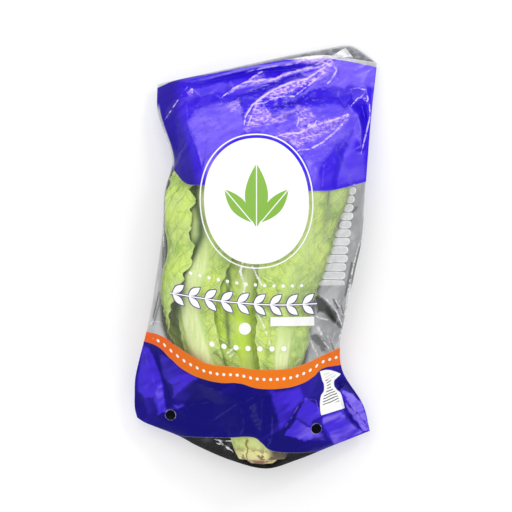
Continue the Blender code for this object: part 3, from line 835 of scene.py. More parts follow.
def leftReach(x, y):
    # the left leaf fills the fold of the bag, most under its shoulder
    return along(bag["leftReach"], y) * (x < 0)


def filmSheet(side, grid, mouth):
    columns, rows = grid
    share = np.linspace(0, 1, columns + 1)
    across = 0.45 * share + 0.55 * (0.5 - 0.5 * np.cos(math.pi * share))
    up = np.linspace(0, 1, rows + 1) ** 1.12
    across, up = np.meshgrid(across, up)
    x, y = bagPlace(across, up, mouth)
    z = filmHeight(x, y, side)
    toSide = np.minimum(across, 1 - across) * 170 * mm
    toEdge = np.minimum(toSide, y - along(bag["bottomFold"], x))
    free = ease(toEdge, 0, 8 * mm)
    slack = ease(np.abs(x - along(head["centreX"], y)) - along(head["halfWidth"], y) - leftReach(x, y),
                 -3 * mm, 3 * mm)
    if side > 0:
        relief, busy = frontRelief(x, y)
        relief = relief * free
        z = z + relief - 0.6 * mm * free
        z = np.where(toEdge > 3 * mm, overLeaves(x, y, z), z)
    else:
        big, middle, small, _ = crumple(x + 0.5, y + 0.5)
        lifted = ease(z, 0.5 * mm, 9 * mm)
        relief = (0.9 * big + 0.4 * middle + 0.12 * small) * mm * free * lifted
        z = z + relief
    # the sealed edges are cockled
    cockle = 1.1 * mm * softNoise(y / (11 * mm), x / (60 * mm), 41)
    cockle = cockle * (1 - ease(toEdge, 0, 14 * mm)) * ease(z, 1 * mm, 8 * mm)
    z = np.minimum(np.maximum(z + cockle, 0.0), cadBox[1][2] - 0.1 * mm)
    # ridges, hollows and steepness of the relief, for the painted highlights and painted shade on the film
    curl = np.zeros_like(z)
    around = relief[:-2, 1:-1] + relief[2:, 1:-1] + relief[1:-1, :-2] + relief[1:-1, 2:]
    curl[1:-1, 1:-1] = 4 * relief[1:-1, 1:-1] - around
    curl = blurred(curl)
    slopeY, slopeX = np.gradient(z)
    stepY, stepX = np.gradient(y)[0], np.gradient(x)[1]
    slopeY, slopeX = slopeY / np.maximum(stepY, 0.1 * mm), slopeX / np.maximum(stepX, 0.1 * mm)
    slopeShading = 1.2 - 1.9 * np.hypot(slopeX + 0.04, slopeY + 0.10)
    slopeShading = np.clip(blurred(slopeShading), 0, 1)
    values = {"crest": np.clip((curl - 0.10 * mm) / (0.40 * mm), 0, 1),
              "trough": np.clip((-curl - 0.06 * mm) / (0.36 * mm), 0, 1), "slack": slack, "slopeShading": slopeShading,
              "rim": np.exp(-np.minimum(toSide, (1 - up) * 300 * mm) / (0.7 * mm))}
    if side > 0:
        values.update(drawnValues(x, y, z, busy))
        # the print stops short of the upper left seam
        values["seam"] = ((1 - ease(toSide, 1.4 * mm, 2.6 * mm)) * (x < 0) * ease(y, 56 * mm, 62 * mm)
                          * (1 - ease(y, 112 * mm, 122 * mm)))
    return np.stack([x, y, z], axis=-1), values


def filmPiece(name, side, grid, mouth, vents, material):
    points, values = filmSheet(side, grid, mouth)
    flat = points.reshape(-1, 3)
    keep = np.ones(len(flat), bool)
    radius = bag["ventRadius"] * mm
    inner, outer = (radius - bag["ventRim"][0] * mm, radius + bag["ventRim"][1] * mm)
    for vx, vy in vents:
        dx, dy = flat[:, 0] - vx * mm, flat[:, 1] - vy * mm
        away = np.hypot(dx, dy)
        rim = (away > inner) & (away < outer)  # points pulled onto the vent's edge
        flat[rim, 0] = vx * mm + dx[rim] / away[rim] * radius
        flat[rim, 1] = vy * mm + dy[rim] / away[rim] * radius
        keep &= away >= inner
    piece = gridMesh(name, points, material, keep, values)
    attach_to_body(piece, "root")
    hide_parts("bag")
    return piece


# The film's print, in the photograph's pixels, with its colours and the colours of its painted highlights and
# painted shade
printed = {
    "bandPurple": (0.085, 0.042, 0.70),
    "bandSheen": (0.215, 0.135, 0.88),
    "bandFacetShade": (0.040, 0.011, 0.70),
    "bandShade": (0.018, 0.009, 0.25),
    "panelPurple": (0.055, 0.022, 0.66),
    "panelSheen": (0.25, 0.17, 0.84),
    "panelShade": (0.0028, 0.0010, 0.17),
    "glint": (0.76, 0.60, 0.99),
    "crumpledSheen": (0.44, 0.27, 0.90),
    "orange": (0.81, 0.18, 0.010),
    "orangeDeep": (0.80, 0.11, 0.008),
    "white": (0.93, 0.93, 0.93),
    "outline": (0.06, 0.03, 0.20),
    "sprigGreen": (0.24, 0.46, 0.07),
    "clearTint": (0.62, 0.63, 0.64),
    "hazeTint": (0.66, 0.70, 0.56),
    "backInk": (0.014, 0.014, 0.017),
    "bandLow": [(150, 150), (158, 156), (172, 168), (178, 175.5), (185, 182.7), (190.6, 184.8), (201.7, 185),
                (240, 190), (280, 192), (310, 191), (329, 190.7), (345, 187.5), (365, 182), (380, 178)],
    "bandHigh": [(150, 90), (158, 87.5), (176, 80), (215, 72), (242, 66.8), (268, 62.5), (288, 59.5),
                 (304, 59.5), (327, 58.5), (340, 60), (376, 67)],
    "stripeHigh": [(128, 326), (146.5, 331.6), (156.5, 334), (174.7, 345), (194.6, 357.3), (213, 364.8),
                   (236, 367), (261, 369.8), (285.8, 369), (302.4, 364.8), (319, 357.3), (340.6, 347.4),
                   (360, 340)],
    "stripeLow": [(128, 336), (145, 341.5), (154.8, 345), (169.8, 358), (186, 371.4), (203, 379),
                  (222.8, 383), (236, 383), (261, 389), (285.8, 388), (299, 384.7), (314, 376.4), (324, 368),
                  (340.6, 364.8), (360, 360)],
    "panelLow": [(124, 418), (136, 424), (150, 430), (165, 434), (175, 435.6), (183, 436.4), (194.6, 437),
                 (229.5, 437.7), (249, 437), (261, 442.7), (272.6, 451), (285.8, 452.7), (310.7, 452),
                 (319, 451), (345, 446), (380, 436)],
    "plateCentre": (256.5, 200.8),
    "plateHalf": (52.6, 63.4),
    "plateTurn": 3.0,
    "plateRound": 2.15,
    "ring": (2.5, 3.5),
    # the sprig's leaves: across, up, turn, length and width
    "sprig": [(0, 4, 90, 50, 18), (-14, -4, 130, 34, 12), (14, -4, 50, 34, 12)],
    "patchLeft": [(366, 318.5), (371, 319.8), (380, 322.2), (388, 324.2), (396, 321), (405, 320),
                  (416, 322.8)],
    "patchRight": [(366, 342), (373, 341), (378, 337), (383, 334), (389, 336.4), (393, 340.5), (401, 343),
                   (408, 344.7), (416, 346)],
    "patchTop": [(312, 372.5), (320, 371.3), (327, 370), (334, 371.2), (341, 374), (348, 377)],
    "patchLow": ((322.5, 415), (344.5, 408)),
    "patchBars": 2.3,
    # rows of marks: the row's line, its first and last pixel and its pitch, and a dot's radius
    "garland": [(150, 290), (170, 293), (200, 298), (240, 303), (280, 305), (318, 303.5), (340, 302)],
    "garlandRow": ((170, 293), (317, 304), 12.67),
    "garlandLeaf": {"inner": (11.6, 5.0), "outer": (13.6, 6.6), "turn": 40, "across": 0.2, "up": 4.2},
    "dotRows": [
        ([(160, 266), (186, 272), (220, 280), (256, 285), (290, 286), (320, 284)], (186, 272), (306, 285),
         7.2, 1.25),
        ([(190, 339), (206, 343), (240, 348), (270, 349), (300, 348)], (206, 343), (290, 348), 9.31, 2.0),
    ],
    "stripeDots": {"pitch": 5.2, "radius": 1.15, "middle": -4, "reach": 77},
    # the column's left and right border at its top and bottom
    "bars": {"left": ((351, 186), (318, 288)), "right": ((356.5, 186), (344, 288)), "pitch": 8.5,
             "radius": 3.15},
    "box": {"centre": (292.5, 321.5), "half": (17.0, 3.3)},
    "disc": {"centre": (244.8, 328.7), "radius": 4.7, "pricks": 1.9},
}

# Painted highlights and painted shade on the folds and vents, and colours of marks on the print and the film
paintedLightAndMarks = {
    "panelGlint": (0.26, 0.17, 0.90),
    "bandValleyShade": (0.024, 0.006, 0.60),
    "panelValleyShade": (0.004, 0.0012, 0.16),
    "shadowUnderStripe": (0.02, 0.003, 0.06),
    "seam": (0.62, 0.62, 0.66),
    "bar": (0.68, 0.69, 0.69),
    # pale bar rims, painted highlights along the clear film's ridges and a pale line along its sealed edges
    "edge": (0.86, 0.87, 0.88),
    "patchInk": (0.02, 0.02, 0.03),
    "betweenBars": (0.10, 0.11, 0.10),
    "ventEdge": (0.42, 0.40, 0.62),
    "mouthGrey": (0.30, 0.30, 0.33),
    "shadowInsideVent": (0.004, 0.004, 0.008),
    "shadeOverBack": (0.045, 0.050, 0.045),
    "shine": (0.88, 0.87, 0.92),
}
sharp = 0.25 * mm


def printLine(across, pixels):
    return printEdge(across, [fromPhoto(*spot) for spot in pixels])


def upright(pixels):
    # a printed line that runs down the film, as its y and x from the bottom up
    return [fromPhoto(px, py)[::-1] for py, px in pixels][::-1]


def pointedOval(across, over, turn, length, width, soft):
    # a pointed leaf shape, 1 inside and 0 outside, and the distance from its midrib
    c, s = math.cos(math.radians(turn)), math.sin(math.radians(turn))
    u = across * c + over * s
    v = abs(over * c - across * s)
    edge = (1.0 - abs(u / (length / 2)) ** 1.8) * (width / 2)
    return rise(edge - v, -soft, soft), v


def rowMarks(x, y, line, first, last, pitch):
    # along a printed row: the place inside one pitch, the height over the row and a mask for the row's length
    low, high = fromPhoto(*first)[0], fromPhoto(*last)[0]
    end = 0.1 * mm
    within = rise(x, low - end, low + end) * rise(x, high - end, high + end, 1.0, 0.0)
    return repeated(x - low + 100 * pitch, pitch), y - printLine(x, line), within


def dots(across, over, radius):
    soft = 0.12 * mm
    return rise(apart(across, over), radius - soft, radius + soft, 1.0, 0.0)


def plateAndRing(x, y):
    # oval plate with a plain sprig on it, and a thin ring round it
    cx, cy = fromPhoto(*printed["plateCentre"])
    turn = math.radians(printed["plateTurn"])
    dx, dy = x - cx, y - cy
    u = dx * math.cos(turn) + dy * math.sin(turn)
    v = dy * math.cos(turn) - dx * math.sin(turn)
    onFilm = photo["metresPerPixel"] * 0.968  # the film there is nearer to the camera than the floor
    halfX, halfY = (half * onFilm for half in printed["plateHalf"])
    power = printed["plateRound"]

    def oval(grow):
        size = abs(u / (halfX + grow)) ** power + abs(v / (halfY + grow)) ** power
        return rise((1.0 - size ** (1 / power)) * halfX, -sharp, sharp)

    inner, outer = printed["ring"]
    ring = oval(outer * mm) * (1.0 - oval(inner * mm))
    sprig = None
    for sx, sy, turn, length, width in printed["sprig"]:
        inside, fromRib = pointedOval(dx - sx * mm, dy - sy * mm, turn, length * mm, width * mm, 0.15 * mm)
        leaf = inside * rise(fromRib, 0.25 * mm, 0.5 * mm)
        sprig = leaf if sprig is None else most(sprig, leaf)
    return [(ring, printed["white"]), (oval(0.0), blend(sprig, printed["white"], printed["sprigGreen"]))]


def rowsOfMarks(x, y, stripeMiddle):
    # a garland of white leaves between two rows of dots, and dots along the stripe
    first, last, pitch = printed["garlandRow"]
    across, over, within = rowMarks(x, y, printed["garland"], first, last, pitch * mm)
    stalk = abs(over)
    white = rise(stalk, 0.35 * mm, 0.6 * mm, 1.0, 0.0)
    edged = rise(stalk, 0.95 * mm, 1.2 * mm, 1.0, 0.0)
    leaf = printed["garlandLeaf"]
    for side in (1, -1):
        shiftX, shiftY = across - leaf["across"] * mm, over - side * leaf["up"] * mm
        inner, outer = (pointedOval(shiftX, shiftY, side * leaf["turn"], length * mm, width * mm,
                                    0.12 * mm)[0]
                        for length, width in (leaf["inner"], leaf["outer"]))
        white, edged = most(white, inner), most(edged, outer)
    stripe = printed["stripeDots"]
    marks = dots(repeated(x + 1.0, stripe["pitch"] * mm), y - stripeMiddle, stripe["radius"] * mm)
    marks = marks * rise(abs(x - stripe["middle"] * mm), stripe["reach"] * mm, (stripe["reach"] + 0.5) * mm,
                         1.0, 0.0)
    for line, first, last, pitch, radius in printed["dotRows"]:
        across, over, rowWithin = rowMarks(x, y, line, first, last, pitch * mm)
        marks = most(marks, dots(across, over, radius * mm) * rowWithin)
    return [(edged * within, blend(white, printed["outline"], printed["white"])), (marks, printed["white"])]


def barColumn(x, y, place):
    # column of plain round-ended bars down the right side, longer towards the bottom
    pitch = printed["bars"]["pitch"] * photo["metresPerPixel"] * 0.98
    radius = printed["bars"]["radius"] * mm
    (x0, y0), (x1, y1) = (fromPhoto(*spot) for spot in printed["bars"]["left"])
    (x2, _), (x3, _) = (fromPhoto(*spot) for spot in printed["bars"]["right"])
    down = (y0 - y) / (y0 - y1)
    rowPlace = (y0 + 0.5 - (y + noise(place, 50.0, 1.0) * (1.2 * mm))) / pitch
    inRow = abs(calc("FRACT", rowPlace) - 0.5) * pitch
    uneven = calc("SINE", calc("FLOOR", rowPlace) * 2.4) * (0.6 * mm)
    left = down * (x1 - x0) + x0 + uneven
    right = down * (x3 - x2) + x2 - uneven * 0.5
    away = apart(most(most(left + radius - x, x - (right - radius)), 0.0), inRow)
    bars = rise(away, radius - 0.3 * mm, radius + 0.1 * mm, 1.0, 0.0)
    barRim = rise(away, radius - 1.1 * mm, radius - 0.5 * mm)
    rubbed = rise(noise(stretched(place, (1.0, 2.0, 1.0)), 200.0, 3.0, 0.6), 0.34, 0.6, 0.72, 0.92)
    column = rise(down, -0.03, 0.0) * rise(down, 0.965, 0.985, 1.0, 0.0)
    bars = bars * rubbed * (column * rise(x - left, 0.0, 4.0 * mm, 0.45, 1.0))
    between = column * rise(inRow, 2.7 * mm, 3.2 * mm)
    between = between * (rise(x - left, -1.0 * mm, 2.0 * mm) * rise(right - x, -0.6 * mm, 1.0 * mm))
    return [(between * 0.8, paintedLightAndMarks["betweenBars"]), (bars, blend(barRim, paintedLightAndMarks["bar"], paintedLightAndMarks["edge"]))]


def boxAndDisc(x, y):
    # small blank box and a dotted disc in the window
    bx, by = fromPhoto(*printed["box"]["centre"])
    halfX, halfY = printed["box"]["half"]
    box = (rise(abs(x - bx), halfX * mm, (halfX + 0.5) * mm, 1.0, 0.0)
           * rise(abs(y - by), halfY * mm, (halfY + 0.5) * mm, 1.0, 0.0))
    dotX, dotY = fromPhoto(*printed["disc"]["centre"])
    disc = dots(x - dotX, y - dotY, printed["disc"]["radius"] * mm)
    pitch = printed["disc"]["pricks"] * mm
    pricks = dots(repeated(x + 1.0, pitch), repeated(y + 1.0, pitch), 0.35 * mm) * (disc * 0.35)
    return [(most(box, disc) * 0.95, blend(pricks, printed["white"], printed["sprigGreen"]))]


def pinchedPatch(x, y, place):
    # pinched white patch with plain slanted bars, down at the right
    fromLeft = x - printEdge(y, upright(printed["patchLeft"]))
    fromRight = printEdge(y, upright(printed["patchRight"])) - x
    fromTop = printLine(x, printed["patchTop"]) - y
    (lowX, lowY), (highX, highY) = (fromPhoto(*spot) for spot in printed["patchLow"])
    fromLow = y - ((x - lowX) * ((highY - lowY) / (highX - lowX)) + lowY)
    patch = rise(fromLeft, -sharp, sharp) * rise(fromRight, -sharp, sharp)
    patch = patch * rise(fromTop, -sharp, sharp) * rise(fromLow, -sharp, sharp)
    wave = y - x * 0.38 + noise(place, 120.0, 1.0) * (2.0 * mm)
    lines = calc("FRACT", (wave + 1.0) / (printed["patchBars"] * mm))
    lines = rise(abs(lines - 0.5), 0.12, 0.24, 1.0, 0.0)
    inside = rise(fromLeft, 2.0 * mm, 2.6 * mm) * rise(fromRight, 2.6 * mm, 3.2 * mm)
    inside = inside * rise(fromLow, 6.4 * mm, 6.9 * mm)
    faint = rise(fromTop, 2.0 * mm, 2.4 * mm) * rise(fromTop, 6.5 * mm, 8.0 * mm, 0.25, 0.9)
    return [(patch, blend(lines * inside * faint, printed["white"], paintedLightAndMarks["patchInk"]))]


def filmMaterial(name, front):
    made, tree, shader = newMaterial(name)
    place, x, y = objectPlace(tree)
    crest, trough, slack, rim, slopeShading, glint = (
        attribute(tree, key) for key in ("crest", "trough", "slack", "rim", "slopeShading", "glint"))
    hollow, dark, pale, busy, seam, crumpledSheenHere = (
        attribute(tree, key) for key in ("hollow", "dark", "pale", "busy", "seam", "crumpledSheen"))

    def above(edge):
        return rise(y - edge, -sharp, sharp)

    stripeHigh, stripeLow, panelLow, bandLow, bandHigh = (
        printLine(x, printed[key]) for key in ("stripeHigh", "stripeLow", "panelLow", "bandLow", "bandHigh"))
    overBand = above(bandHigh)
    band = above(bandLow) * (1.0 - overBand)
    stripe = above(stripeLow) * (1.0 - above(stripeHigh))
    panel = above(panelLow) * (1.0 - above(stripeLow))

    # purple band: painted highlights where facets catch the light, painted shade on its steep facets and down
    # its left flank
    shifted = slopeShading + (noise(place, 26.0, 2.0, 0.5) - 0.5) * 0.5
    flankEdge = most(-25.7 * mm - y * 0.286, -58 * mm)
    flankShade = rise(x - flankEdge, -9 * mm, 3 * mm, 1.0, 0.0) * rise(y, 90 * mm, 102 * mm, 0.97, 0.86)
    bandColour = blend(rise(shifted, 0.15, 0.75), printed["bandFacetShade"], printed["bandPurple"])
    bandColour = blend(pale * 0.85, bandColour, printed["bandSheen"])
    bandColour = blend(flankShade, bandColour, printed["bandShade"])
    # painted shade: the panel is darkest in the middle, where it turns under the head, and on its steep
    # facets; painted sheen where its facets catch the light
    outward = rise(abs(x + 21 * mm), 24 * mm, 72 * mm)
    panelColour = blend(rise(shifted * 0.5 + outward * 0.5, 0.3, 1.0), printed["panelShade"],
                        printed["panelPurple"])
    panelColour = blend(rise(pale, 0.0, 0.5), panelColour, printed["panelPurple"])
    panelColour = blend(rise(pale, 0.5, 1.0), panelColour, printed["panelSheen"])
    stripeColour = blend(rise(abs(x), 45 * mm, 90 * mm), printed["orange"], printed["orangeDeep"])
    purple = most(band, panel)
    ink = most(purple, stripe) * (1.0 - seam)
    colour = blend(slack, printed["hazeTint"], printed["clearTint"])
    for mask, shade in ((band, bandColour), (panel, panelColour), (stripe, stripeColour)):
        colour = blend(mask, colour, shade)

    # creased ink gets painted highlights and glints on the ridges, painted sheen on the crumpled strips and
    # painted shade in the hollows
    broken = noise(stretched(place, (1.0, 1.6, 1.0), -25.0), 170.0, 3.0, 0.6)
    finest = None
    for turn, scale in ((-38.0, 75.0), (24.0, 95.0)):
        grain = noise(stretched(place, (1.0, 3.4, 1.0), turn), scale, 3.0, 0.6)
        line = rise(abs(grain - 0.5), 0.004, 0.03, 1.0, 0.0)
        finest = line if finest is None else most(finest, line)
    finest = least(busy, 1.0) * finest * rise(broken, 0.44, 0.62, 0.0, 0.3)
    shine = most(rise(glint * rise(broken, 0.34, 0.62, 0.4, 1.25), 0.18, 0.8), finest)
    speckle = noise(stretched(place, (1.0, 1.7, 1.0), -35.0), 330.0, 3.0, 0.6)
    glintColour = blend(panel, printed["glint"], paintedLightAndMarks["panelGlint"])
    for mask, shade in ((crumpledSheenHere * rise(speckle, 0.36, 0.55, 0.1275, 0.85), printed["crumpledSheen"]),
                        (crumpledSheenHere * rise(speckle, 0.54, 0.64, 0.0, 0.85), glintColour),
                        (crest * 0.22, glintColour),
                        (trough * 0.45, printed["bandShade"]),
                        (hollow * 0.85, blend(panel, paintedLightAndMarks["bandValleyShade"], paintedLightAndMarks["panelValleyShade"]))):
        colour = blend(purple * mask, colour, shade)
    # painted shadow under the orange stripe
    colour = blend(panel * rise(stripeLow - y, 0.0, 1.2 * mm, 0.7, 0.0), colour, paintedLightAndMarks["shadowUnderStripe"])
    colour = blend(purple * shine * 0.8, colour, glintColour)
    colour = blend(seam, colour, paintedLightAndMarks["seam"])

    vents = [apart(x - vx * mm, y - vy * mm) for vx, vy in bag["frontVents"]]
    if front:
        for mask, shade in (plateAndRing(x, y) + rowsOfMarks(x, y, (stripeHigh + stripeLow) * 0.5)
                            + barColumn(x, y, place) + boxAndDisc(x, y) + pinchedPatch(x, y, place)):
            colour = blend(mask, colour, shade)
            ink = most(ink, mask)
        # the vents' cut edges are turned up and pale, and painted shade darkens the back film inside them
        for away in vents:
            edge = rise(away, (bag["ventRadius"] + 0.25) * mm, (bag["ventRadius"] + 0.7) * mm, 1.0, 0.0)
            colour = blend(edge * rise(broken, 0.4, 0.6, 0.1, 0.8), colour, paintedLightAndMarks["ventEdge"])
    else:
        colour = blend(ink, printed["backInk"], colour)
        grey = noise(stretched(place, (1.0, 1.8, 1.0), -30.0), 220.0, 3.0, 0.6)
        grey = rise(y, 138 * mm, 154 * mm) * rise(grey, 0.36, 0.62, 0.35, 0.9)
        colour = blend(grey, colour, paintedLightAndMarks["mouthGrey"])
        # painted shade inside the vents
        for away in vents:
            colour = blend(rise(away, 5 * mm, 8 * mm, 1.0, 0.0), colour, paintedLightAndMarks["shadowInsideVent"])

    # clear film: nearly see-through over the leaves, milkier where it's creased, slack or sealed
    bare = 1.0 - ink
    # painted highlights along the ridges of the clear film, and a pale line along its sealed edges
    streaks = bare * most(crest * 0.5, rim)
    if front:
        crease = noise(stretched(place, (1.0, 1.8, 1.0), 35.0), 150.0, 4.0, 0.65, 1.2)
        haze = most(rise(x, 5 * mm, 62 * mm, 0.05, 0.22), rise(x, -64 * mm, -40 * mm, 0.09, 0.04))
        milk = rise(crease, 0.56, 0.74, 0.0, 0.1) + haze + crest * 0.25
        cloudy = noise(stretched(place, (1.6, 0.8, 1.0), -25.0), 42.0, 3.0, 0.5, 0.6)
        loose = slack * rise(cloudy, 0.38, 0.64, 0.46, 0.66) + slack * rise(x, -62 * mm, -52 * mm, 0.18, 0.0)
        milk = most(milk, loose) * rise(y, -118 * mm, -126 * mm, 1.0, 0.05)
        # the clear lip of the mouth is crumpled and white
        lip = overBand * (rise(x, 16 * mm, 34 * mm) * rise(x, 70 * mm, 84 * mm, 1.0, 0.2))
        lip = lip * rise(broken, 0.35, 0.6, 0.65, 0.95)
        milk = most(milk * (1.0 - dark * 0.75), lip)
        clear = most(most(milk, most(shine * 0.75, dark * 0.92)), rim * 0.8)
        # painted shade where the clear film lies open over the back and in its hollows, and painted
        # highlights on its glints
        colour = blend(bare * dark * 0.95, colour, paintedLightAndMarks["shadeOverBack"])
        colour = blend(bare * most(shine, lip), colour, paintedLightAndMarks["shine"])
        streaks = streaks * (1.0 - dark)
    else:
        clear = most(rim * 0.9, rise(y, -118 * mm, -126 * mm, 0.93, 0.985))
    colour = blend(streaks * 0.8, colour, paintedLightAndMarks["edge"])
    attach(colour, shader.inputs["Base Color"])
    attach(least(ink * 0.99 + bare * clear, 1.0), shader.inputs["Alpha"])
    shader.inputs["Roughness"].default_value = 0.40
    shader.inputs["Specular IOR Level"].default_value = 0.03
    shader.inputs["Coat Weight"].default_value = 0.16 if front else 0.06
    shader.inputs["Coat Roughness"].default_value = 0.11
    creased = noise(stretched(place, (1.0, 2.2, 1.0), 40.0), 120.0, 5.0, 0.6, 0.8) + cells(place, 170.0) * 0.8
    attach(bump(creased, 0.9 * mm, 0.16), shader.inputs["Normal"])
    made.surface_render_method = "BLENDED"
    return made


def mouthFlap():
    # a corner of clear film folded up over the mouth
    made, tree, shader = newMaterial("mouthFlap")
    place = objectPlace(tree)[0]
    crinkle = noise(stretched(place, (1.0, 1.8, 1.0), 40.0), 160.0, 4.0, 0.6)
    attach(blend(rise(crinkle, 0.38, 0.62), (0.7, 0.7, 0.76), (0.9, 0.9, 0.93)),
           shader.inputs["Base Color"])
    attach(rise(crinkle, 0.35, 0.65, 0.72, 0.95), shader.inputs["Alpha"])
    shader.inputs["Roughness"].default_value = 0.3
    attach(bump(crinkle, 0.8 * mm, 0.4), shader.inputs["Normal"])
    made.surface_render_method = "BLENDED"
    corners = [np.array([*fromPhoto(px, py), height * mm]) for px, py, height in
               ((328.6, 57.6, 13.2), (345.4, 48.0, 13.8), (353.2, 57.6, 13.0))]
    s, t = np.meshgrid(np.linspace(0, 1, 19), np.linspace(0, 1, 19), indexing="ij")
    spots = sum(w[..., None] * c for w, c in zip((1 - s, s * (1 - t), s * t),
                                                 (corners[1], corners[0], corners[2])))
    spots[..., 2] += (1.2 * s * (1 - np.abs(2 * t - 1)) - 0.4 * np.abs(facetNoise(s * 3, t * 3, 71))) * mm
    piece = gridMesh("mouthFlap", spots, made)
    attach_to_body(piece, "root")


# The lettuce head

leaves = {
    "count": 18,
    "outer": 6,
    "outerSpacing": 2.0,
    "innerSpacing": 1.5,
    "goldenAngle": 137.5,
    "centreLeafAngle": 8.0,
    "turnedByHand": {12: -150.0, 13: 78.0, 14: -46.0, 15: 155.0, 16: -104.0, 17: 36.0},
    "lowestBase": -160,
    "longestTip": 117,
    "shortestTip": 62,
    "unevenTips": 12,
    "rowStep": 11,
    "bladeThickness": 0.6,
    "outerRibThickness": 2.8,
    "innerRibThickness": 1.4,
    "halfWidth": [(0, 30), (0.09, 27), (0.35, 33), (0.6, 47), (0.78, 52), (0.9, 43), (0.97, 25), (1, 7)],
    "innerWidthShare": 0.55,
    "veinSpacing": 15,
    "outerGrid": (170, 96),
    "innerGrid": (56, 26),
    "leftShare": {14: 0.66, 17: 0.50},
    "rightShare": {14: 0.58, 16: 1.08, 17: 1.08},
    "ribShare": {14: 1.9, 11: 0.7, 17: 0.9},
    "bulge": {16: 1.2, 17: 0.8},
    "calmLeft": [14],
    "narrowTop": {16: 0.17},
    "twist": {16: -45.0},
    "footTwist": {17: -30.0},
    "ribEnds": {17: (0.30, 0.50)},
    "pressedLeft": 16,
    "brightRib": 11,
    "footThickness": 2.0,
    "foldDepth": 1.3,
    "foldLength": 58,
    # deep shaded gaps beside the left leaf and between the ribs: width, strength and spots, in pixels
    "gaps": [(5.0, 0.95, (195, 180), (197, 205), (201, 222), (201, 236), (195, 250), (188, 264), (183, 276)),
             (6.5, 1.0, (183, 276), (179, 292), (177, 306), (174, 320), (172, 334)),
             (3.0, 0.7, (228, 268), (230, 285), (226, 300), (227, 320), (229, 345)),
             (2.6, 0.6, (262, 272), (268, 292), (262, 304), (256, 312)),
             (2.6, 0.6, (268, 330), (273, 346), (276, 362)),
             (2.5, 0.5, (214, 352), (222, 360), (228, 368))],
}
stemRadius = [(-163.5, 9), (-160, 13), (-149, 14.5), (-135, 11.5), (-115, 7.5), (-95, 4), (-88, 1.5)]


def leafDepth(number):
    fromOutside = leaves["count"] - 1 - number
    outer = min(fromOutside, leaves["outer"] - 1)
    return (outer * leaves["outerSpacing"] + (fromOutside - outer) * leaves["innerSpacing"]) * mm


def leafAngle(number):
    byHand = leaves["turnedByHand"]
    if number in byHand:
        return math.radians(byHand[number])
    return math.radians(leaves["centreLeafAngle"] + (min(byHand) - 1 - number) * leaves["goldenAngle"])


def leafBase(number):
    y = leaves["lowestBase"] * mm
    while along(head["halfHeight"], y) - leafDepth(number) < along(stemRadius, y) + 2.0 * mm:
        y += mm
    return y


def leafTip(number):
    share = number / (leaves["count"] - 1)
    reach = leaves["shortestTip"] + (leaves["longestTip"] - leaves["shortestTip"]) * math.sqrt(share)
    uneven = leaves["unevenTips"] * abs(math.sin(leaves["goldenAngle"] * number))
    return round((reach - uneven) / leaves["rowStep"]) * leaves["rowStep"] * mm


def roundHead(y, layer, angle):
    stretch = along(head["halfWidth"], y) / along(head["halfHeight"], y)
    return (along(head["centreX"], y) + layer * stretch * np.sin(angle), y + 0 * angle,
            along(head["centreZ"], y) + layer * np.cos(angle))


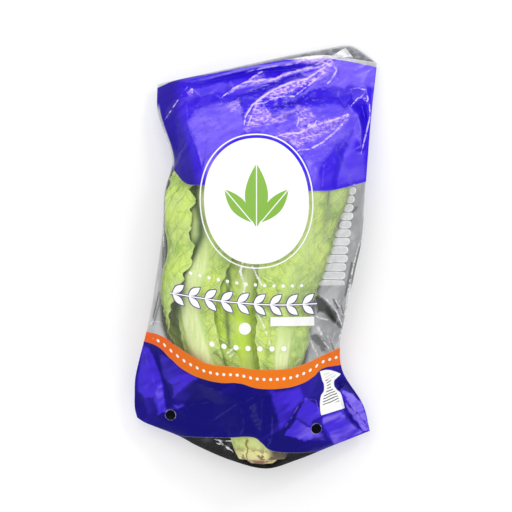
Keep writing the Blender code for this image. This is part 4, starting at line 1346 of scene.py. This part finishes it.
def leafPiece(number, material):
    outer = number >= leaves["count"] - leaves["outer"] - 1
    rows, columns = leaves["outerGrid"] if outer else leaves["innerGrid"]
    base, tip = leafBase(number), leafTip(number)
    share = number / (leaves["count"] - 1)
    rng = np.random.default_rng(500 + number)
    u, v = np.meshgrid(np.linspace(0, 1, rows + 1) ** 0.94, np.linspace(-1, 1, columns + 1), indexing="ij")
    y = base + (tip - base) * u
    stretch = along(head["halfWidth"], y) / along(head["halfHeight"], y)
    layer = along(head["halfHeight"], y) - leafDepth(number)
    meanRadius = layer * np.sqrt((1 + stretch**2) / 2)
    widthShare = leaves["innerWidthShare"] + (1 - leaves["innerWidthShare"]) * share
    halfWidth = along(leaves["halfWidth"], u * mm) * widthShare
    # the margin wanders in and out, more towards the tip
    lap = softNoise(y / (13 * mm) + rng.uniform(0, 40), np.sign(v) * 3.3 + 0.5, 60 + number)
    lap = lap + 0.5 * softNoise(y / (5 * mm) + rng.uniform(0, 40), np.sign(v) * 3.3 + 0.5, 90 + number)
    calm = 0.85 * (v < 0) * (1 - ease(u, 0.45, 0.6)) if number in leaves["calmLeft"] else 0
    halfWidth = halfWidth * (1 + 0.10 * lap * (1 - calm) * np.abs(v) ** 3 * ease(u, 0.1, 0.35))
    halfAngle = np.minimum(halfWidth / meanRadius, math.radians(84))
    shareHere = np.where(v < 0, leaves["leftShare"].get(number, 1.0), leaves["rightShare"].get(number, 1.0))
    shareHere = shareHere + (1 - shareHere) * (1 - ease(u, 0.05, 0.18))
    if number in leaves["narrowTop"]:
        shareHere = shareHere * (1 - leaves["narrowTop"][number] * (v > 0) * ease(y, 15 * mm, 58 * mm))
    twist = math.radians(leaves["twist"].get(number, 0.0)) * (1 - ease(u, 0.28, 0.50))
    twist = twist + math.radians(leaves["footTwist"].get(number, 0.0)) * (1 - ease(u, 0.08, 0.20))
    angle = leafAngle(number) + twist + v * halfAngle * shareHere
    sideways = v * halfAngle * shareHere * meanRadius

    # side veins leave the rib forwards, and the blade is puckered between them
    wander = 0.35 * softNoise(sideways / (16 * mm), y / (20 * mm), 130 + number)
    phase = (y - 0.95 * np.abs(sideways)) / (leaves["veinSpacing"] * mm)
    phase = phase + wander + 0.5 * (v > 0) + rng.uniform(0, 1)
    fromVein = np.abs(phase - np.round(phase))
    vein = np.exp(-(fromVein / 0.075) ** 2)
    ribHalf = (0.34 * (1 - u) ** 0.9 + 0.035) * leaves["ribShare"].get(number, 1.0)
    rib = np.clip(1 - (np.abs(v) / ribHalf) ** 2, 0, 1) ** 0.7
    ribBand = 1 - ease(np.abs(v), 0.7 * ribHalf, 1.5 * ribHalf)
    blade = 1 - ribBand
    edge = ease(np.abs(v), 0.8, 1.0)
    soft = softNoise(sideways / (8 * mm), y / (8 * mm), 160 + number)
    crisp = softNoise(sideways / (3.6 * mm), y / (4.2 * mm), 190 + number)
    pucker = blade * (0.9 * vein * (1 - 0.6 * edge) - 0.75 + 0.65 * soft + 0.30 * crisp)
    frill = softNoise(y / (9 * mm), np.sign(v) * 5.5 + sideways / (60 * mm), 220 + number)
    ruffle = edge**2 * ease(u, 0.15, 0.4) * 2.2 * frill
    settle = ease(y, leaves["lowestBase"] * mm, (leaves["lowestBase"] + 60) * mm)
    longWave = np.sin(math.tau * y / (leaves["foldLength"] * mm) + 2.2 * np.sin(angle))
    longFold = leaves["foldDepth"] * longWave * settle
    limit = 1.0 if outer else 0.45
    relief = longFold * mm + (pucker + ruffle * (1 - calm)) * mm * limit * ease(u, 0.02, 0.2)
    # the bag holds the sides flatter than the top
    relief = np.where(relief > 0, relief * (1 - 0.8 * np.sin(angle) ** 4), relief)
    relief = relief + leaves["bulge"].get(number, 0.0) * mm * np.sin(angle) ** 4 * ease(u, 0.2, 0.5)
    thinRib, thickRib = leaves["innerRibThickness"], leaves["outerRibThickness"]
    ribThickness = thinRib + (thickRib - thinRib) * share**2
    thickness = leaves["bladeThickness"] + (ribThickness - leaves["bladeThickness"]) * rib * (1 - u) ** 0.7
    thickness = np.maximum(thickness, leaves["footThickness"] * (1 - ease(u, 0.05, 0.3)))
    inner = np.stack(roundHead(y, layer + relief, angle), axis=-1)
    outerFace = np.stack(roundHead(y, layer + relief + thickness * mm, angle), axis=-1)
    if number == leaves["pressedLeft"]:
        for face in (inner, outerFace):
            above = face[..., 2] - along(bag["edgeHeight"], y) - 3 * mm
            face[..., 0] -= leftReach(face[..., 0], y) * np.exp(-(above / (7 * mm)) ** 2)
    # one closed loop round each row: outer face, margin, inner face, margin
    loop = np.concatenate([outerFace, inner[:, ::-1]], axis=1)
    # inner leaves lie in the dark, and so do the gaps between the outer ones
    gap = strokes(*seenAt(outerFace[..., 0], outerFace[..., 1], outerFace[..., 2]), leaves["gaps"])
    gap = gap * (outerFace[..., 2] > 40 * mm) * (number < leaves["pressedLeft"])
    gap = np.maximum(gap, 0.7 * (number < leaves["brightRib"]))
    glow = (1 - ease(y, -44 * mm, 0)) * (number == leaves["brightRib"])
    glow = glow + 0.6 * (number == leaves["pressedLeft"]) * ease(v, 0.1, 0.6)
    sunk = 0.75 * ease(u, *leaves["ribEnds"].get(number, (1, 2)))
    values = {"rib": ribBand * (1 - 0.35 * u) * (1 - sunk), "vein": vein * blade * (1 - 0.7 * edge),
              "rim": edge, "length": u, "shade": gap, "glow": glow}
    values = {key: np.concatenate([value, value[:, ::-1]], axis=1) for key, value in values.items()}
    points = loop.reshape(-1, 3)
    if outer:
        leafTops.append(outerFace.reshape(-1, 3))
    count = loop.shape[1]
    index = np.arange(len(points)).reshape(loop.shape[:2])
    following = np.roll(index, -1, axis=1)
    faces = np.stack([index[:-1], following[:-1], following[1:], index[1:]], axis=-1).reshape(-1, 4).tolist()
    for row, flip in ((0, True), (rows, False)):
        for i in range(count // 2 - 1):
            quad = [index[row, i], index[row, i + 1], index[row, count - 2 - i], index[row, count - 1 - i]]
            faces.append(quad[::-1] if flip else quad)
    piece = meshPiece(f"lettuceLeaf{number + 1:02d}", points, np.array(faces), material, values)
    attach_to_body(piece, "root")
    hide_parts(f"leaf_{number + 1:02d}")
    return piece


leafLook = {
    "blade": (0.57, 0.74, 0.22),
    "bladeDeep": (0.27, 0.47, 0.075),
    "bladeYellow": (0.66, 0.82, 0.16),
    "glow": (0.60, 0.84, 0.06),
    "inner": (0.045, 0.100, 0.022),
    "line": (0.21, 0.36, 0.065),
    "vein": (0.68, 0.82, 0.36),
    "rib": (0.84, 0.92, 0.48),
    "ribEdge": (0.50, 0.69, 0.19),
    "foot": (0.62, 0.70, 0.26),
    "cut": (0.80, 0.74, 0.36),
    "rust": (0.17, 0.040, 0.015),
    "darkRightFoot": (0.075, 0.045, 0.032),
}


def leafMaterial():
    made, tree, shader = newMaterial("lettuceLeaf")
    place, x, y = objectPlace(tree)
    rib, vein, rim, length, shade, glow = (
        attribute(tree, key) for key in ("rib", "vein", "rim", "length", "shade", "glow"))
    broad = noise(place, 42.0, 3.0, 0.6)
    mottled = noise(place, 200.0, 4.0, 0.6)
    bent = noise(place, 60.0, 2.0)
    wobble = noise(place, 75.0, 2.0, 0.5, output="Color")
    drifted = addNode(tree, "VectorMath", 0, {0: wobble, 1: (0.012, 0.012, 0.012), 2: place},
                      operation="MULTIPLY_ADD")
    net = cells(stretched(drifted, (1.0, 0.5, 1.0), 32.0), 115.0)
    finer = cells(drifted, 270.0)
    blade = blend(rise(broad, 0.36, 0.64), leafLook["blade"], leafLook["bladeYellow"])
    blade = blend(rise(bent, 0.52, 0.72, 0.0, 0.75), blade, leafLook["bladeDeep"])
    blade = blend(rise(mottled, 0.46, 0.72, 0.0, 0.5), blade, leafLook["bladeDeep"])
    # thin dark lines follow the net of veins, and the side veins stand out pale between two lines of painted
    # shade
    blade = blend(glow * rise(broad, 0.4, 0.6, 0.35, 1.0), blade, leafLook["glow"])
    blade = blend(rise(net, 0.0, 0.038, 0.42, 0.0), blade, leafLook["line"])
    blade = blend(rise(finer, 0.0, 0.05, 0.2, 0.0), blade, leafLook["line"])
    beside = rise(vein, 0.08, 0.35) * rise(vein, 0.4, 0.75, 1.0, 0.0)
    blade = blend(beside * 0.45, blade, leafLook["line"])
    blade = blend(rise(vein, 0.55, 0.95, 0.0, 0.7), blade, leafLook["vein"])
    blade = blend(rim * 0.3, blade, leafLook["vein"])
    streak = noise(stretched(place, (3.0, 0.22, 3.0)), 120.0, 2.0)
    stalk = blend(rise(streak, 0.38, 0.66, 0.0, 0.45), leafLook["rib"], leafLook["ribEdge"])
    stalk = blend(rise(rib, 0.55, 0.95, 0.8, 0.0), stalk, leafLook["ribEdge"])
    stalk = blend(glow * rise(bent, 0.36, 0.6, 0.55, 1.0), stalk, leafLook["glow"])
    stalk = blend(rise(length, 0.0, 0.22, 0.9, 0.0), stalk, leafLook["foot"])
    colour = blend(least(rib * 1.2, 1.0), blade, stalk)
    # the feet are yellowed and bruised where they were cut, with one long brown crack
    colour = blend(rise(y, -128 * mm, -148 * mm, 0.0, 0.6), colour, leafLook["foot"])
    colour = blend(rise(y, -148 * mm, -157 * mm, 0.0, 0.8), colour, leafLook["cut"])
    stain = noise(place, 130.0, 4.0, 0.62)
    bruise = rise(y, -147 * mm, -157 * mm) * rise(stain, 0.5, 0.6)
    crack = x + (noise(place, 140.0, 2.0) - 0.5) * (7 * mm)
    crack = rise(abs(crack - -7 * mm), 0.3 * mm, 0.9 * mm, 1.0, 0.0)
    crack = crack * rise(y, -142 * mm, -145 * mm)
    colour = blend(most(bruise * 0.85, crack * 0.75), colour, leafLook["rust"])
    # the right of the feet is drawn dark brown
    darkRightFoot = rise(x, 7 * mm, 15 * mm) * rise(y, -143 * mm, -152 * mm)
    colour = blend(darkRightFoot * 0.92, colour, leafLook["darkRightFoot"])
    colour = blend(shade, colour, leafLook["inner"])
    attach(colour, shader.inputs["Base Color"])
    attach(rise(mottled, 0.3, 0.7, 0.36, 0.55), shader.inputs["Roughness"])
    shader.inputs["Specular IOR Level"].default_value = 0.35
    shader.inputs["Subsurface Weight"].default_value = 0.08
    shader.inputs["Subsurface Radius"].default_value = (0.4, 0.6, 0.15)
    shader.inputs["Subsurface Scale"].default_value = 0.003
    height = mottled * 0.5 + rise(net, 0.0, 0.12) * 0.5
    height = height * (1.0 - rib) + streak * 0.3
    attach(bump(height, 1.0 * mm, 0.7), shader.inputs["Normal"])
    return made


stem = {
    "rings": 60,
    "sides": 64,
    "low": -163.5,
    "high": -88,
    "pale": (0.74, 0.80, 0.42),
    "green": (0.56, 0.68, 0.26),
    "cut": (0.70, 0.58, 0.26),
    "brown": (0.22, 0.075, 0.03),
}


def stemPiece():
    made, tree, shader = newMaterial("lettuceStem")
    place, _, y = objectPlace(tree)
    grain = noise(stretched(place, (2.2, 0.4, 2.2)), 150.0, 3.0)
    stain = noise(place, 110.0, 4.0, 0.65)
    colour = blend(rise(grain, 0.35, 0.7), stem["pale"], stem["green"])
    cut = rise(y, -159 * mm, -162.5 * mm)
    browned = most(cut * rise(stain, 0.4, 0.56), rise(stain, 0.6, 0.7) * 0.7)
    colour = blend(cut, colour, stem["cut"])
    colour = blend(browned, colour, stem["brown"])
    attach(colour, shader.inputs["Base Color"])
    shader.inputs["Roughness"].default_value = 0.45
    attach(bump(grain + stain, 0.8 * mm, 0.5), shader.inputs["Normal"])
    turn = np.linspace(0, math.tau, stem["sides"], endpoint=False)
    y0 = np.linspace(stem["low"] * mm, stem["high"] * mm, stem["rings"] + 1)
    yy, angle = np.meshgrid(y0, turn, indexing="ij")
    scars = 0.5 * softNoise(angle * 2.2, yy / (7 * mm), 301) + 0.25 * softNoise(angle * 7, yy / (4 * mm), 302)
    radius = along(stemRadius, yy) + scars * mm * ease(yy, -162 * mm, -158 * mm)
    px, py, pz = roundHead(yy, radius, angle)
    # the low end closes in a slightly domed cut face
    caps = []
    for k in range(1, 13):
        s = 1 - k / 12.5
        rough = 0.35 * softNoise(np.cos(turn) * s * 5 + 3, np.sin(turn) * s * 5 + 3, 303)
        cx, cz = px[0].mean(), pz[0].mean()
        caps.append(np.stack([cx + (px[0] - cx) * s, py[0] + (1.2 * s + rough - 0.9) * mm,
                              cz + (pz[0] - cz) * s], axis=-1))
    tops = []
    for k in range(1, 4):
        s = 1 - k / 3.2
        cx, cz = px[-1].mean(), pz[-1].mean()
        tops.append(np.stack([cx + (px[-1] - cx) * s, py[-1] + 0.3 * k * mm, cz + (pz[-1] - cz) * s],
                             axis=-1))
    rows = np.concatenate([np.array(caps[::-1]), np.stack([px, py, pz], axis=-1), np.array(tops)])
    piece = gridMesh("lettuceStem", rows, made, wrap=True)
    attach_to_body(piece, "root")
    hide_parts("stem")


# Build

leafFinish = leafMaterial()
for number in range(leaves["count"]):
    leafPiece(number, leafFinish)
print("leaves made")
stemPiece()
print("stem made")
filmPiece("filmFront", 1, bag["frontGrid"], bag["frontMouth"], bag["frontVents"],
          filmMaterial("filmFront", True))
filmPiece("filmBack", -1, bag["backGrid"], bag["backMouth"], bag["backVents"],
          filmMaterial("filmBack", False))
mouthFlap()
print("film made")

# Floor, light and camera
studio = {
    "floor": (0.62, 0.62, 0.62),
    "floorGlow": 0.36,
    "world": 0.75,
    # name, place, size and watts; the wide box gives the film its broad sheen, the small one its sharp glints
    "boxes": [("wideBox", (-0.35, 0.70, 1.85), 1.50, 12.5), ("keyBox", (0.70, 0.80, 1.15), 0.24, 3.4),
              ("topStrip", (0.10, 1.60, 0.75), 0.80, 2.2), ("lowBox", (0.50, -1.30, 1.20), 0.40, 1.4)],
}


def floorAndLight():
    made, tree, shader = newMaterial("studioFloor")
    grain = noise(objectPlace(tree)[0], 30.0, 2.0)
    attach(blend(grain, studio["floor"], tuple(0.985 * c for c in studio["floor"])),
           shader.inputs["Base Color"])
    shader.inputs["Roughness"].default_value = 0.9
    shader.inputs["Emission Color"].default_value = (1, 1, 1, 1)
    shader.inputs["Emission Strength"].default_value = studio["floorGlow"]
    side = np.linspace(-3, 3, 13)
    gx, gy = np.meshgrid(side, side)
    floor = gridMesh("studioFloor", np.stack([gx, gy, 0 * gx - 0.0006], axis=-1), made)
    world = bpy.data.worlds.new("studio")
    world.use_nodes = True
    back = world.node_tree.nodes["Background"]
    back.inputs["Color"].default_value = (1, 1, 1, 1)
    back.inputs["Strength"].default_value = studio["world"]
    bpy.context.scene.world = world
    for name, spot, size, power in studio["boxes"]:
        lamp = bpy.data.lights.new(name, "AREA")
        lamp.shape = "SQUARE"
        lamp.size = size
        lamp.energy = power
        holder = bpy.data.objects.new(name, lamp)
        holder.location = spot
        holder.rotation_euler = (Vector((0, 0, 0.03)) - Vector(spot)).to_track_quat("-Z", "Y").to_euler()
        bpy.context.scene.collection.objects.link(holder)


def camera():
    lens = bpy.data.cameras.new("camera")
    lens.sensor_width = photo["sensor"]
    half = photo["size"] / 2 * photo["metresPerPixel"]
    lens.lens = photo["sensor"] / 2 * photo["cameraHeight"] / half
    lens.clip_end = 20
    holder = bpy.data.objects.new("camera", lens)
    holder.location = (0, 0, photo["cameraHeight"])
    bpy.context.scene.collection.objects.link(holder)
    bpy.context.scene.camera = holder


floorAndLight()
camera()
bpy.context.scene.view_settings.view_transform = "Standard"
print("studio made")
